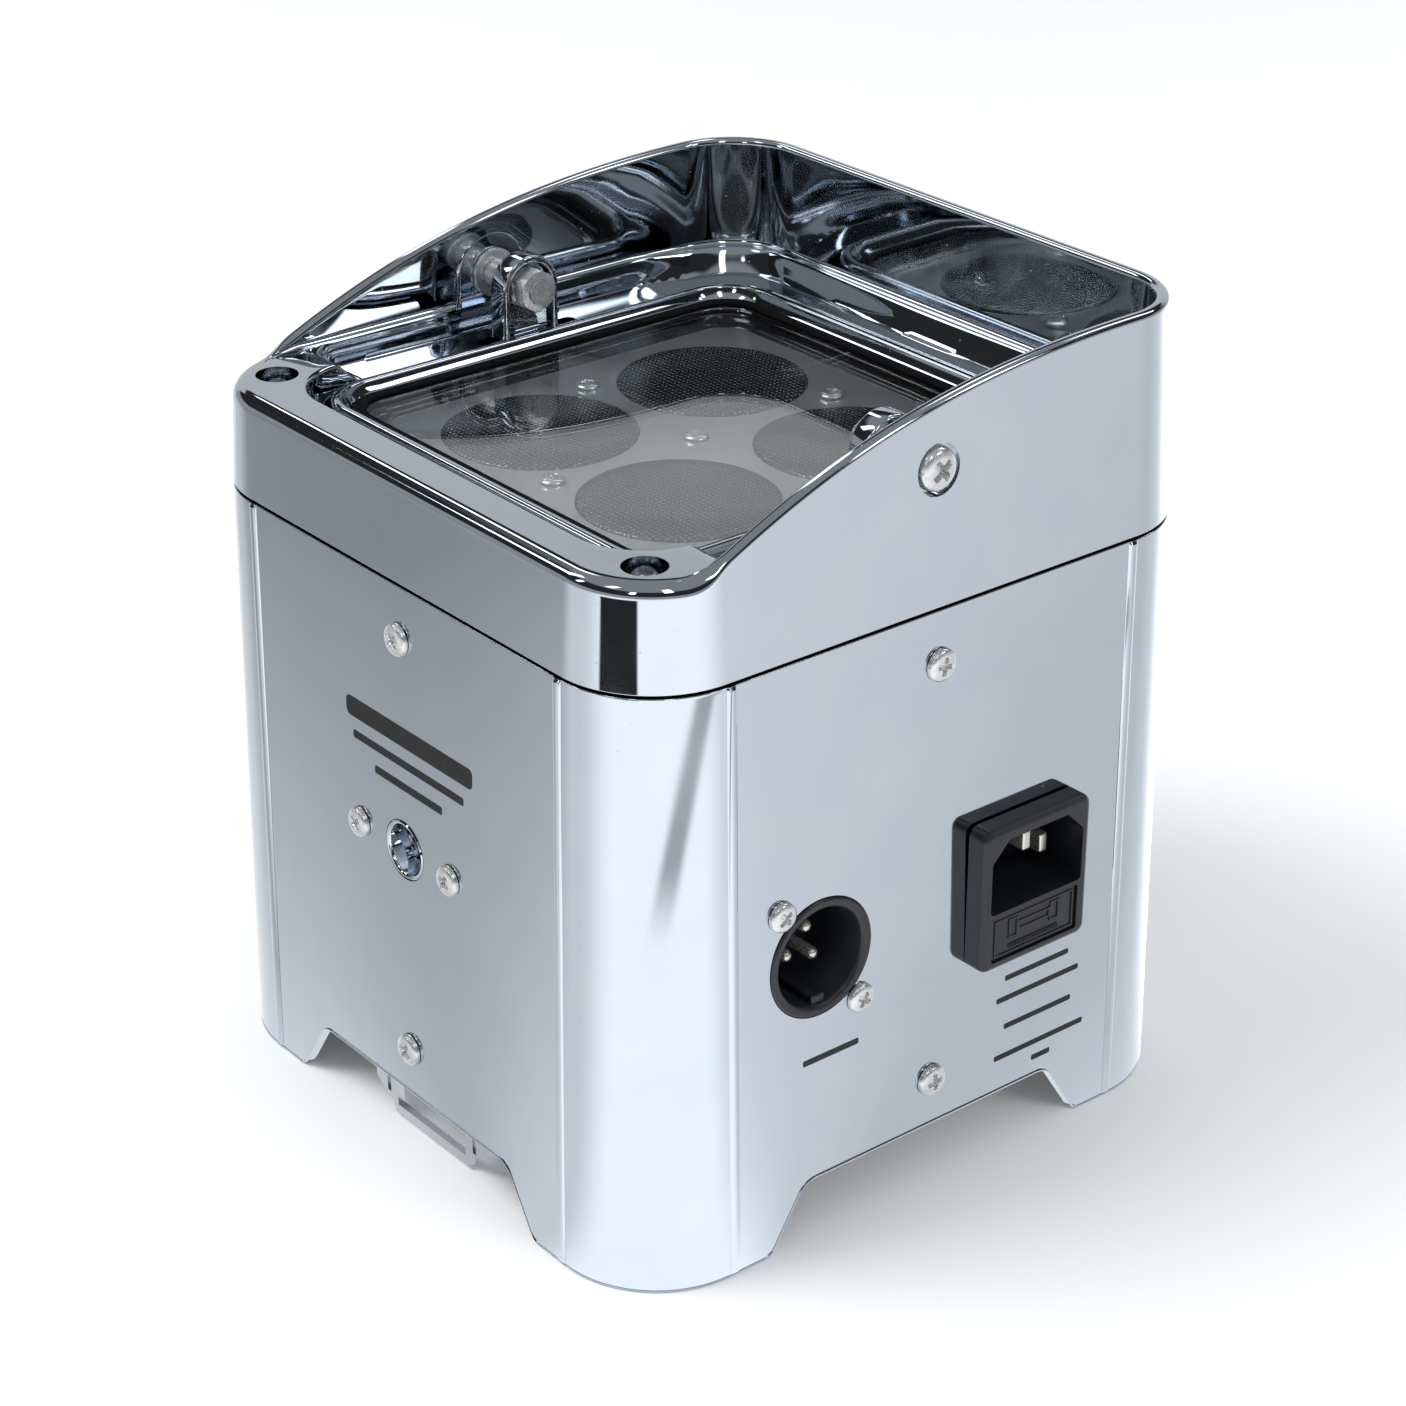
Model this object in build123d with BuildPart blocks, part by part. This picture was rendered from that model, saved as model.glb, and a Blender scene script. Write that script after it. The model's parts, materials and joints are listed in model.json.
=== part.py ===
"""A square battery uplighter of the par can kind: a plated case on four corner feet, a hood with a
raised visor, and a four-lens lamp head that tilts between the visor's side walls.

Millimetres. +Z is up, the plain front faces -Y, the mains inlet is on +X, and the origin lies on the
floor at the middle of the footprint."""

from build123d import *
import math
import os

os.makedirs("parts", exist_ok=True)

# ------------------------------------------------------------------ driving dimensions
half = 70.0  # half the side of the case, at the seam
foot_spread = 1.8  # how much wider each side is at the floor
foot_corner_r = 22.0
wall = 2.8
seam_z = 122.6  # where the case ends and the hood begins
seam_gap = 0.6
ledge_z = 143.0  # the hood's flat front ledge
hood_top = 166.1
hood_draft = 3.0  # degrees that the hood's walls lean in
tray_z = 138.0  # sunk floor around the lamp head
arch_height = 13.0  # the cut-outs between the feet
base_z = 13.0  # underside of the base plate
base_thick = 2.5
rubber_at = 47.0  # rubber feet, from the centre in X and in Y

pivot_y = -0.5
pivot_z = 149.2
bolt_r = 2.5
bolt_play = 0.06

ring_half = 53.6  # lamp head: outside of its ring
ring_top = 139.6
ring_bottom = 134.0
glass_half = 51.4
opening_half = 50.0
plate_top = 131.6
lens_pitch = 21.3  # lens centres from the head's centre, in X and in Y
lens_r = 19.1

case_draft = math.degrees(math.atan(foot_spread / seam_z))
hood_z = seam_z + seam_gap / 2
hood_lean = math.tan(math.radians(hood_draft))


def case_half(z):
    """Half the outer side of the case at height z."""
    return half + foot_spread * (1 - z / seam_z)


def hood_half(z):
    """Half the outer side of the hood at height z."""
    return half - (z - hood_z) * hood_lean


def save(name, part):
    """Label a finished piece and write it as its own STEP file."""
    part.label = name
    export_step(part, f"parts/{name}.step")


# Planes that stand on a side of the case with +Z outwards, and local X and Y along the side.
def front_plane(out, x=0.0, z=0.0):
    return Plane(origin=(x, -out, z), x_dir=(1, 0, 0), z_dir=(0, -1, 0))


def back_plane(out, x=0.0, z=0.0):
    return Plane(origin=(x, out, z), x_dir=(-1, 0, 0), z_dir=(0, 1, 0))


def right_plane(out, y=0.0, z=0.0):
    return Plane(origin=(out, y, z), x_dir=(0, 1, 0), z_dir=(1, 0, 0))


def left_plane(out, y=0.0, z=0.0):
    return Plane(origin=(-out, y, z), x_dir=(0, -1, 0), z_dir=(-1, 0, 0))


side_planes = (front_plane, right_plane, back_plane, left_plane)

# ------------------------------------------------------------------ places on the sides
upper_screw_z = 111.6
lower_screw_z = 23.5
corner_post = 57.5  # corner screws, from the centre in X and in Y
post_r = 8.2

socket_y = -28.0  # round three-pin sockets
socket_z = 61.0
socket_r = 12.2
socket_screw_dx = 9.5
socket_screw_dz = 12.0

inlet_y = 21.8  # mains inlet with its fuse drawer
inlet_z = 60.4
inlet_w = 27.2
inlet_h = 30.0
inlet_out = 4.6

anchor_z = 67.6  # security anchor on the front
anchor_r = 6.2
anchor_screw_dx = 14.7

panel_z = 80.0  # display and keys on the back
panel_w = 64.0
panel_h = 40.0
key_z = 69.0
key_x = (-21.0, -7.0, 7.0, 21.0)
key_r = 3.4

rocker_z = 38.0  # power switch on the back
rocker_w = 19.0
rocker_h = 13.0
rocker_tilt = 9.0

# ------------------------------------------------------------------ the case
with BuildPart() as body_shell:
    foot_side = 2 * case_half(0)
    with BuildSketch():
        RectangleRounded(foot_side, foot_side, foot_corner_r)
    extrude(amount=seam_z - seam_gap / 2, taper=case_draft)
    with BuildSketch():
        inner_side = foot_side - 2 * wall
        RectangleRounded(inner_side, inner_side, foot_corner_r - wall)
    extrude(amount=seam_z, taper=case_draft, mode=Mode.SUBTRACT)

    # Posts in the corners take the hood's screws above and the base plate's screws below.
    post_ends = ((base_z + base_thick, 36.0), (96.0, 116.3))
    for low, high in post_ends:
        with BuildSketch(Plane.XY.offset(low)):
            with GridLocations(2 * corner_post, 2 * corner_post, 2, 2):
                Circle(post_r)
        extrude(amount=high - low)
        with BuildSketch(Plane.XY.offset(low)):
            with GridLocations(2 * corner_post, 2 * corner_post, 2, 2):
                Circle(1.55)
        extrude(amount=high - low, mode=Mode.SUBTRACT)

    # Arched cut-outs leave a foot at each corner.
    arch_foot = 39.8
    arch_top = 31.5
    for side in (Plane.XZ, Plane.YZ):
        with BuildSketch(side.offset(-2 * half)):
            with BuildLine():
                Polyline(
                    (-arch_foot - 5, -5),
                    (-arch_foot - 5, 0),
                    (-arch_foot, 0),
                    (-arch_top, arch_height),
                    (arch_top, arch_height),
                    (arch_foot, 0),
                    (arch_foot + 5, 0),
                    (arch_foot + 5, -5),
                    close=True,
                )
            make_face()
            crown = vertices().group_by(Axis.Y)[-1]
            fillet(crown, 5.0)
        extrude(amount=4 * half, mode=Mode.SUBTRACT)

    # Slim raised beads run up each side, just inside the rounded corners.
    bead_at = 49.0
    bead_w = 2.2
    bead_proud = 0.45
    lean = foot_spread / seam_z
    for turn in range(4):
        with BuildSketch(Plane.XY.offset(1.2).rotated((0, 0, 90 * turn))):
            with Locations((-bead_at, -case_half(1.2)), (bead_at, -case_half(1.2))):
                RectangleRounded(bead_w, 2 * bead_proud, 0.4)
        up = Vector(0, lean, 1).rotate(Axis.Z, 90 * turn)
        extrude(amount=seam_z - seam_gap / 2 - 1.2, dir=up)

    # Screw holes, two to a side.
    for side in side_planes:
        for z in (upper_screw_z, lower_screw_z):
            with BuildSketch(side(case_half(z) + 1, z=z)):
                Circle(1.8)
            extrude(amount=-6, mode=Mode.SUBTRACT)

    # Socket holes on the right and the left, with their screw holes.
    for side, sign in ((right_plane, 1), (left_plane, -1)):
        with BuildSketch(side(case_half(socket_z) + 2, socket_y, socket_z)):
            Circle(socket_r)
            with Locations(
                (-sign * socket_screw_dx, socket_screw_dz), (sign * socket_screw_dx, -socket_screw_dz)
            ):
                Circle(1.5)
        extrude(amount=-7, mode=Mode.SUBTRACT)

    # The inlet's cut-out.
    with BuildSketch(right_plane(case_half(inlet_z) + 2, inlet_y, inlet_z)):
        RectangleRounded(inlet_w - 3, inlet_h - 3, 1.5)
    extrude(amount=-7, mode=Mode.SUBTRACT)

    # The anchor's hole, between its two screws.
    with BuildSketch(front_plane(case_half(anchor_z) + 2, z=anchor_z)):
        Circle(anchor_r)
        with Locations((-anchor_screw_dx, 0), (anchor_screw_dx, 0)):
            Circle(1.5)
    extrude(amount=-7, mode=Mode.SUBTRACT)

    # The back's windows for the display panel and the power switch.
    with BuildSketch(back_plane(case_half(panel_z) + 2, z=panel_z)):
        RectangleRounded(panel_w - 4, panel_h - 4, 2)
        with Locations((0, rocker_z - panel_z)):
            Rectangle(rocker_w, rocker_h)
    extrude(amount=-7, mode=Mode.SUBTRACT)
save("body_shell", body_shell.part)

# ------------------------------------------------------------------ the hood
head_gap = 0.6
front_edge = 58.6  # where the ledge ends, ahead of the lamp head
rear_edge = 55.8
shelf_front = 54.4  # a narrow shelf below the ledge closes the gap ahead of the head
lug_w = 13.4
lug_in = 52.0
lug_out = 57.0
pad_face = 65.4  # the pivot pads' inner faces
pad_r = 8.5

with BuildPart() as top_hood:
    hood_corner_r = foot_corner_r - foot_spread
    with BuildSketch(Plane.XY.offset(hood_z)):
        RectangleRounded(2 * half, 2 * half, hood_corner_r)
    extrude(amount=hood_top - hood_z, taper=hood_draft)

    # The side view: a low ledge at the front, swept up into the visor.
    sweep_y = -57.0
    sweep_r = 14.0
    sweep_turn = 26.0
    with BuildSketch(Plane.YZ.offset(-2 * half)):
        with BuildLine():
            ledge = Line((-2 * half, ledge_z), (sweep_y, ledge_z))
            bend = JernArc(ledge @ 1, (1, 0), sweep_r, sweep_turn)
            rise = Bezier(bend @ 1, bend @ 1 + (bend % 1) * 25.0, (0, hood_top), (50, hood_top))
            Polyline(rise @ 1, (2 * half, hood_top), (2 * half, 2 * hood_top))
            Polyline((2 * half, 2 * hood_top), (-2 * half, 2 * hood_top), ledge @ 0)
        make_face()
    extrude(amount=4 * half, mode=Mode.SUBTRACT)

    # The space inside the visor.
    visor_side = 2 * (hood_half(ledge_z) - wall)
    with BuildSketch(Plane.XY.offset(ledge_z)):
        RectangleRounded(visor_side, visor_side, hood_corner_r - wall - 1)
    extrude(amount=30, taper=hood_draft, mode=Mode.SUBTRACT)

    # The sunk tray around the lamp head, with a ramp down from the ledge.
    tray_x = 66.2
    tray_front = -40.0
    tray_rear = 61.5
    with BuildSketch(Plane.XY.offset(tray_z)):
        with Locations((0, (tray_front + tray_rear) / 2)):
            RectangleRounded(2 * tray_x, tray_rear - tray_front, 9.0)
    with BuildSketch(Plane.XY.offset(ledge_z + 0.2)):
        with Locations((0, (tray_front + tray_rear) / 2 - 0.8)):
            RectangleRounded(2 * tray_x + 0.8, tray_rear - tray_front + 8.5, 10.0)
    loft(mode=Mode.SUBTRACT)

    # The hollow underside.
    under_side = 2 * (half - wall - 0.8)
    with BuildSketch(Plane.XY.offset(hood_z)):
        RectangleRounded(under_side, under_side, hood_corner_r - wall)
    extrude(amount=tray_z - 3.0 - hood_z, taper=hood_draft, mode=Mode.SUBTRACT)

    # A tongue that drops inside the case, and a tab behind each upper side screw.
    tongue_low = 116.5
    with BuildSketch(Plane.XY.offset(tongue_low)):
        RectangleRounded(2 * 66.8, 2 * 66.8, 17.2)
        RectangleRounded(2 * 65.0, 2 * 65.0, 15.4, mode=Mode.SUBTRACT)
    extrude(amount=hood_z + 2 - tongue_low)
    for side in side_planes:
        with BuildSketch(side(66.8, z=(tongue_low + 104.0) / 2 + 1)):
            Rectangle(16, tongue_low - 104.0 + 2)
        extrude(amount=-3)

    # Screw wells in the two front corners of the ledge.
    well_r = 4.2
    wells = ((-corner_post, -corner_post), (corner_post, -corner_post))
    with BuildSketch(Plane.XY.offset(116.4)):
        with Locations(*wells):
            Circle(6.3)
    extrude(amount=21)
    with BuildSketch(Plane.XY.offset(ledge_z - 6.5)):
        with Locations(*wells):
            Circle(well_r)
    extrude(amount=8, mode=Mode.SUBTRACT)
    with BuildSketch(Plane.XY.offset(116.0)):
        with Locations(*wells):
            Circle(1.8)
    extrude(amount=24, mode=Mode.SUBTRACT)

    # The lamp head's opening, widened beside the two lugs as far as they swing.
    opening_x = 2 * (ring_half + head_gap)
    with BuildSketch(Plane.XY.offset(tray_z)):
        with Locations((0, (rear_edge - front_edge) / 2)):
            RectangleRounded(opening_x, rear_edge + front_edge, 14.0)
    extrude(amount=10, mode=Mode.SUBTRACT)
    notch_front = -9.7
    notch_rear = 14.0
    with BuildSketch(Plane.XY.offset(tray_z - 5)):
        with Locations((0, (rear_edge - shelf_front) / 2)):
            RectangleRounded(opening_x, rear_edge + shelf_front, 11.4)
        with Locations((0, (notch_front + notch_rear) / 2)):
            Rectangle(2 * (lug_out + 2.0), notch_rear - notch_front)
    extrude(amount=12, mode=Mode.SUBTRACT)

    # Arched pads inside the visor's walls carry the pivot bolts.
    for side in (right_plane, left_plane):
        with BuildSketch(side(pad_face, pivot_y, pivot_z)):
            Circle(pad_r)
            with Locations((0, (tray_z + 1 - pivot_z) / 2)):
                Rectangle(2 * pad_r, pivot_z - tray_z - 1)
        extrude(amount=2.4)
        with BuildSketch(side(pad_face - 1, pivot_y, pivot_z)):
            Circle(bolt_r + bolt_play)
        extrude(amount=8, mode=Mode.SUBTRACT)
        with BuildSketch(side(hood_half(pivot_z) - 1.4, pivot_y, pivot_z)):
            Circle(5.0)
        extrude(amount=5, mode=Mode.SUBTRACT)

    # Holes for the upper side screws' threads.
    for side in side_planes:
        with BuildSketch(side(68.0, z=upper_screw_z)):
            Circle(1.45)
        extrude(amount=-6, mode=Mode.SUBTRACT)
save("top_hood", top_hood.part)

# ------------------------------------------------------------------ the base plate
stand_pin_y = -12.0
stand_pin_z = 8.6

with BuildPart() as base_plate:
    with BuildSketch(Plane.XY.offset(base_z)):
        RectangleRounded(2 * 68.3, 2 * 68.3, 18.6)
        with GridLocations(2 * corner_post, 2 * corner_post, 2, 2):
            Circle(1.8, mode=Mode.SUBTRACT)
    extrude(amount=base_thick)
    # Tabs turned up behind the lower side screws.
    for side in side_planes:
        with BuildSketch(side(68.2, z=(base_z + 30.0) / 2)):
            Rectangle(14, 30.0 - base_z)
        extrude(amount=-2.5)
        with BuildSketch(side(69.0, z=lower_screw_z)):
            Circle(1.45)
        extrude(amount=-6, mode=Mode.SUBTRACT)
    # Sockets that hold the rubber feet.
    with BuildSketch(Plane.XY.offset(6.0)):
        with GridLocations(2 * rubber_at, 2 * rubber_at, 2, 2):
            Circle(8.0)
            Circle(5.5, mode=Mode.SUBTRACT)
    extrude(amount=base_z - 6.0)
    # Saddles for the fold-out stand's pin.
    with BuildSketch(Plane.YZ.offset(-26.0)):
        with Locations((stand_pin_y, stand_pin_z)):
            Circle(3.4)
            with Locations((0, (base_z - stand_pin_z) / 2)):
                Rectangle(6.8, base_z - stand_pin_z)
    extrude(amount=4)
    with BuildSketch(Plane.YZ.offset(22.0)):
        with Locations((stand_pin_y, stand_pin_z)):
            Circle(3.4)
            with Locations((0, (base_z - stand_pin_z) / 2)):
                Rectangle(6.8, base_z - stand_pin_z)
    extrude(amount=4)
    with BuildSketch(Plane.YZ.offset(-30.0)):
        with Locations((stand_pin_y, stand_pin_z)):
            Circle(1.5)
    extrude(amount=60, mode=Mode.SUBTRACT)
save("base_plate", base_plate.part)

with BuildPart() as rubber_feet:
    with BuildSketch():
        with GridLocations(2 * rubber_at, 2 * rubber_at, 2, 2):
            Circle(7.5)
    extrude(amount=5.9)
    with BuildSketch(Plane.XY.offset(5.9)):
        with GridLocations(2 * rubber_at, 2 * rubber_at, 2, 2):
            Circle(5.4)
    extrude(amount=6.6)
save("rubber_feet", rubber_feet.part)


# ------------------------------------------------------------------ screws
def pan_screw(plane, head_r, head_h, shank_r, length, slot=True):
    """A pan-head screw whose head sits on the plane and whose shank goes down behind it."""
    with BuildPart() as screw:
        with BuildSketch(plane):
            Circle(head_r)
        extrude(amount=head_h, taper=18)
        with BuildSketch(plane):
            Circle(shank_r)
        extrude(amount=-length)
        if slot:
            with BuildSketch(plane.offset(head_h * 0.35)):
                Rectangle(head_r * 1.1, head_r * 0.26)
                Rectangle(head_r * 0.26, head_r * 1.1)
            extrude(amount=head_h, mode=Mode.SUBTRACT)
    return screw.part


def save_group(name, solids):
    """Write several like solids as one node."""
    save(name, Compound(children=list(solids)))


case_heads = []
for side in side_planes:
    for z in (upper_screw_z, lower_screw_z):
        case_heads.append(pan_screw(side(case_half(z) + 0.1, z=z), 3.3, 1.1, 1.4, 7.5))
save_group("case_screws", case_heads)

well_floor = ledge_z - 6.5
hood_heads = []
for x, y in wells:
    hood_heads.append(pan_screw(Plane.XY.offset(well_floor).move(Pos(x, y, 0)), 3.1, 1.8, 1.5, 26))
save_group("hood_screws", hood_heads)

base_heads = []
for place in GridLocations(2 * corner_post, 2 * corner_post, 2, 2):
    under = Plane(origin=(place.position.X, place.position.Y, base_z), z_dir=(0, 0, -1))
    base_heads.append(pan_screw(under, 3.2, 1.7, 1.5, 16))
save_group("base_screws", base_heads)

# ------------------------------------------------------------------ security anchor
anchor_face = case_half(anchor_z)
with BuildPart() as anchor_cup:
    with BuildSketch(front_plane(anchor_face - wall - 1.7, z=anchor_z)):
        SlotOverall(2 * anchor_screw_dx + 9, 15.0)
        with Locations((-anchor_screw_dx, 0), (anchor_screw_dx, 0)):
            Circle(1.35, mode=Mode.SUBTRACT)
    extrude(amount=1.4)
    with BuildSketch(front_plane(anchor_face - 14, z=anchor_z)):
        Circle(7.4)
    extrude(amount=14 - wall - 1.7)
    with BuildSketch(front_plane(anchor_face - wall - 1.6, z=anchor_z)):
        Circle(anchor_r - 0.1)
    extrude(amount=wall + 1.7)
    with BuildSketch(front_plane(anchor_face - 12.6, z=anchor_z)):
        Circle(anchor_r - 1.1)
    extrude(amount=20, mode=Mode.SUBTRACT)
save("anchor_cup", anchor_cup.part)

with BuildPart() as anchor_bar:
    bar_half = 4.85
    with BuildSketch(Plane.XY.offset(anchor_z - bar_half)):
        with Locations((0, -anchor_face + 6.4)):
            Circle(1.3)
    extrude(amount=2 * bar_half)
save("anchor_bar", anchor_bar.part)

anchor_heads = []
for x in (-anchor_screw_dx, anchor_screw_dx):
    anchor_heads.append(pan_screw(front_plane(anchor_face + 0.1, x, anchor_z), 3.1, 1.4, 1.3, 7))
save_group("anchor_screws", anchor_heads)

# ------------------------------------------------------------------ mains inlet
inlet_face = case_half(inlet_z)
recess_w = 23.6
recess_h = 15.4
recess_z = 4.9  # centre of the recess above the inlet's centre
drawer_w = 22.0
drawer_h = 9.3
drawer_z = -8.6
line_spots = ((-7.0, -0.6), (7.0, -0.6))
earth_spot = (0.0, 3.4)
blade_thick = 2.0
blade_w = 4.0
with BuildPart() as inlet_body:
    with BuildSketch(right_plane(inlet_face + 0.3, inlet_y, inlet_z)):
        RectangleRounded(inlet_w + 0.4, inlet_h + 0.4, 2.2)
    extrude(amount=inlet_out)
    with BuildSketch(right_plane(inlet_face - 19, inlet_y, inlet_z)):
        RectangleRounded(inlet_w - 3.2, inlet_h - 3.2, 1.4)
    extrude(amount=19.4)
    # The recess has two bevelled corners at the top, so that a plug goes in one way only.
    bevel = 4.2
    with BuildSketch(right_plane(inlet_face - 11, inlet_y, inlet_z + recess_z)):
        with BuildLine():
            Polyline(
                (-recess_w / 2, -recess_h / 2),
                (recess_w / 2, -recess_h / 2),
                (recess_w / 2, recess_h / 2 - bevel),
                (recess_w / 2 - bevel, recess_h / 2),
                (-recess_w / 2 + bevel, recess_h / 2),
                (-recess_w / 2, recess_h / 2 - bevel),
                close=True,
            )
        make_face()
    extrude(amount=30, mode=Mode.SUBTRACT)
    with BuildSketch(right_plane(inlet_face - 15, inlet_y, inlet_z + drawer_z)):
        Rectangle(drawer_w + 0.3, drawer_h + 0.3)
    extrude(amount=40, mode=Mode.SUBTRACT)
    # Slots for the blades in the recess's floor.
    with BuildSketch(right_plane(inlet_face - 25, inlet_y, inlet_z + recess_z)):
        with Locations(earth_spot, *line_spots):
            Rectangle(blade_thick, blade_w)
    extrude(amount=25, mode=Mode.SUBTRACT)
save("inlet_body", inlet_body.part)

with BuildPart() as inlet_blades:
    with BuildSketch(right_plane(inlet_face - 24, inlet_y, inlet_z + recess_z)):
        with Locations(*line_spots):
            Rectangle(blade_thick, blade_w)
    extrude(amount=23.3)
    # The earth blade is longer, so that it meets the plug first.
    with BuildSketch(right_plane(inlet_face - 24, inlet_y, inlet_z + recess_z)):
        with Locations(earth_spot):
            Rectangle(blade_thick, blade_w)
    extrude(amount=25.8)
save("inlet_blades", inlet_blades.part)

with BuildPart() as fuse_drawer:
    drawer_face = inlet_face + inlet_out - 0.3
    with BuildSketch(right_plane(inlet_face - 14, inlet_y, inlet_z + drawer_z)):
        Rectangle(drawer_w, drawer_h)
    extrude(amount=inlet_out - 0.3 + 14)
    # A pull lip, a little window above it, and the trough that holds the fuse.
    with BuildSketch(right_plane(drawer_face - 1.2, inlet_y, inlet_z + drawer_z - 1)):
        Rectangle(9.0, 3.4)
        Rectangle(7.0, 1.2, mode=Mode.SUBTRACT)
    extrude(amount=2, mode=Mode.SUBTRACT)
    with BuildSketch(Plane.XY.offset(inlet_z + drawer_z - 2.8)):
        with Locations((inlet_face - 5.0, inlet_y)):
            Rectangle(6.4, 20.6)
    extrude(amount=10, mode=Mode.SUBTRACT)
save("fuse_drawer", fuse_drawer.part)

with BuildPart() as fuse:
    with BuildSketch(Plane.XZ.offset(-inlet_y - 10.0)):
        with Locations((inlet_face - 5.0, inlet_z + drawer_z)):
            Circle(2.5)
    extrude(amount=20)
save("fuse", fuse.part)


# ------------------------------------------------------------------ round three-pin sockets
pin_circle = 3.8


def socket_pieces(side, y, male):
    """The shell, insert, contacts and screws of a round socket that is fixed behind the case."""
    face = case_half(socket_z)
    turn = 1 if side is right_plane else -1
    seat = face - wall - 0.4
    with BuildPart() as shell:
        with BuildSketch(side(seat - 2, y, socket_z)):
            RectangleRounded(26, 31, 2)
            with Locations(
                (-turn * socket_screw_dx, socket_screw_dz), (turn * socket_screw_dx, -socket_screw_dz)
            ):
                Circle(1.2, mode=Mode.SUBTRACT)
        extrude(amount=2)
        with BuildSketch(side(seat - 18, y, socket_z)):
            Circle(socket_r - 0.3)
        extrude(amount=18 + wall + 0.2)
        with BuildSketch(side(seat - 16, y, socket_z)):
            Circle(socket_r - 2.2)
        extrude(amount=30, mode=Mode.SUBTRACT)
        with BuildSketch(side(seat - 20, y, socket_z)):
            Circle(socket_r - 3.4)
        extrude(amount=6, mode=Mode.SUBTRACT)
    with BuildPart() as insert:
        top = -11 if male else wall - 1.0
        with BuildSketch(side(seat - 16, y, socket_z)):
            Circle(socket_r - 2.3 if male else socket_r - 4.4)
        extrude(amount=16 + top)
        with BuildSketch(side(seat - 20, y, socket_z)):
            Circle(socket_r - 3.5)
        extrude(amount=4)
        if not male:
            with BuildSketch(side(seat - 16, y, socket_z)):
                Circle(socket_r - 2.3)
            extrude(amount=2)
        with BuildSketch(side(seat - 22, y, socket_z)):
            with PolarLocations(pin_circle, 3, start_angle=75):
                Circle(1.2)
        extrude(amount=40, mode=Mode.SUBTRACT)
    with BuildPart() as contacts:
        with BuildSketch(side(seat - 24, y, socket_z)):
            with PolarLocations(pin_circle, 3, start_angle=75):
                Circle(1.2)
                if not male:
                    Circle(0.7, mode=Mode.SUBTRACT)
        extrude(amount=24 + (-1.5 if male else wall - 3.0))
    screws = []
    for dy, dz in ((-socket_screw_dx, socket_screw_dz), (socket_screw_dx, -socket_screw_dz)):
        spot = side(case_half(socket_z + dz) + 0.1, y + dy, socket_z + dz)
        screws.append(pan_screw(spot, 3.0, 1.5, 1.2, 6))
    return shell.part, insert.part, contacts.part, screws


in_shell, in_insert, in_pins, in_screws = socket_pieces(right_plane, socket_y, True)
save("input_shell", in_shell)
save("input_insert", in_insert)
save("input_pins", in_pins)
save_group("input_screws", in_screws)

out_shell, out_insert, out_contacts, out_screws = socket_pieces(left_plane, socket_y, False)
latch_slot = left_plane(case_half(socket_z) - 12, socket_y, socket_z + socket_r - 2.4)
latch_w = 6.0
with BuildPart() as output_shell:
    add(out_shell)
    with BuildSketch(latch_slot):
        Rectangle(latch_w + 0.4, 4.6)
    extrude(amount=20, mode=Mode.SUBTRACT)
save("output_shell", output_shell.part)
save("output_insert", out_insert)
save("output_contacts", out_contacts)
save_group("output_screws", out_screws)

with BuildPart() as output_latch:
    with BuildSketch(latch_slot.offset(1.5)):
        with Locations((0, -0.1)):
            Rectangle(latch_w, 3.6)
    extrude(amount=12.0)
save("output_latch", output_latch.part)

# ------------------------------------------------------------------ display panel and keys
panel_face = case_half(panel_z)
with BuildPart() as display_panel:
    with BuildSketch(back_plane(panel_face + 0.4, z=panel_z)):
        RectangleRounded(panel_w, panel_h, 3)
    extrude(amount=1.2)
    with BuildSketch(back_plane(panel_face - 5, z=panel_z)):
        RectangleRounded(panel_w - 4.4, panel_h - 4.4, 2)
    extrude(amount=5.5)
    with BuildSketch(back_plane(panel_face - 6, z=panel_z)):
        with Locations((0, 7.5)):
            Rectangle(44, 16)
        with Locations(*[(-x, key_z - panel_z) for x in key_x]):
            Circle(key_r + 0.25)
    extrude(amount=10, mode=Mode.SUBTRACT)
save("display_panel", display_panel.part)

with BuildPart() as display_window:
    with BuildSketch(back_plane(panel_face - 3, z=panel_z + 7.5)):
        Rectangle(43.8, 15.8)
    extrude(amount=4)
save("display_window", display_window.part)

with BuildPart() as display_module:
    with BuildSketch(back_plane(panel_face - 9.5, z=panel_z + 7.5)):
        Rectangle(42, 14)
    extrude(amount=6.3)
save("display_module", display_module.part)

key_names = ("menu_key", "down_key", "up_key", "enter_key")
for key_name, x in zip(key_names, key_x):
    with BuildPart() as key:
        with BuildSketch(back_plane(panel_face - 4.0, x, key_z)):
            Circle(key_r)
        extrude(amount=7.2)
        with BuildSketch(back_plane(panel_face - 6.2, x, key_z)):
            Circle(key_r + 0.9)
        extrude(amount=1.0)
        with BuildSketch(back_plane(panel_face - 6.0, x, key_z)):
            Circle(key_r - 1)
        extrude(amount=2.5)
        fillet(key.edges().group_by(Axis.Y)[-1], 0.6)
    save(key_name, key.part)

# ------------------------------------------------------------------ power switch
switch_face = case_half(rocker_z)
with BuildPart() as switch_frame:
    with BuildSketch(back_plane(switch_face + 0.25, z=rocker_z)):
        RectangleRounded(rocker_w + 4, rocker_h + 4, 1.5)
    extrude(amount=1.6)
    with BuildSketch(back_plane(switch_face - 15, z=rocker_z)):
        Rectangle(rocker_w - 0.2, rocker_h - 0.2)
    extrude(amount=15.5)
    with BuildSketch(back_plane(switch_face - 8, z=rocker_z)):
        Rectangle(rocker_w - 2.6, rocker_h - 2.0)
    extrude(amount=20, mode=Mode.SUBTRACT)
save("switch_frame", switch_frame.part)

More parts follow.
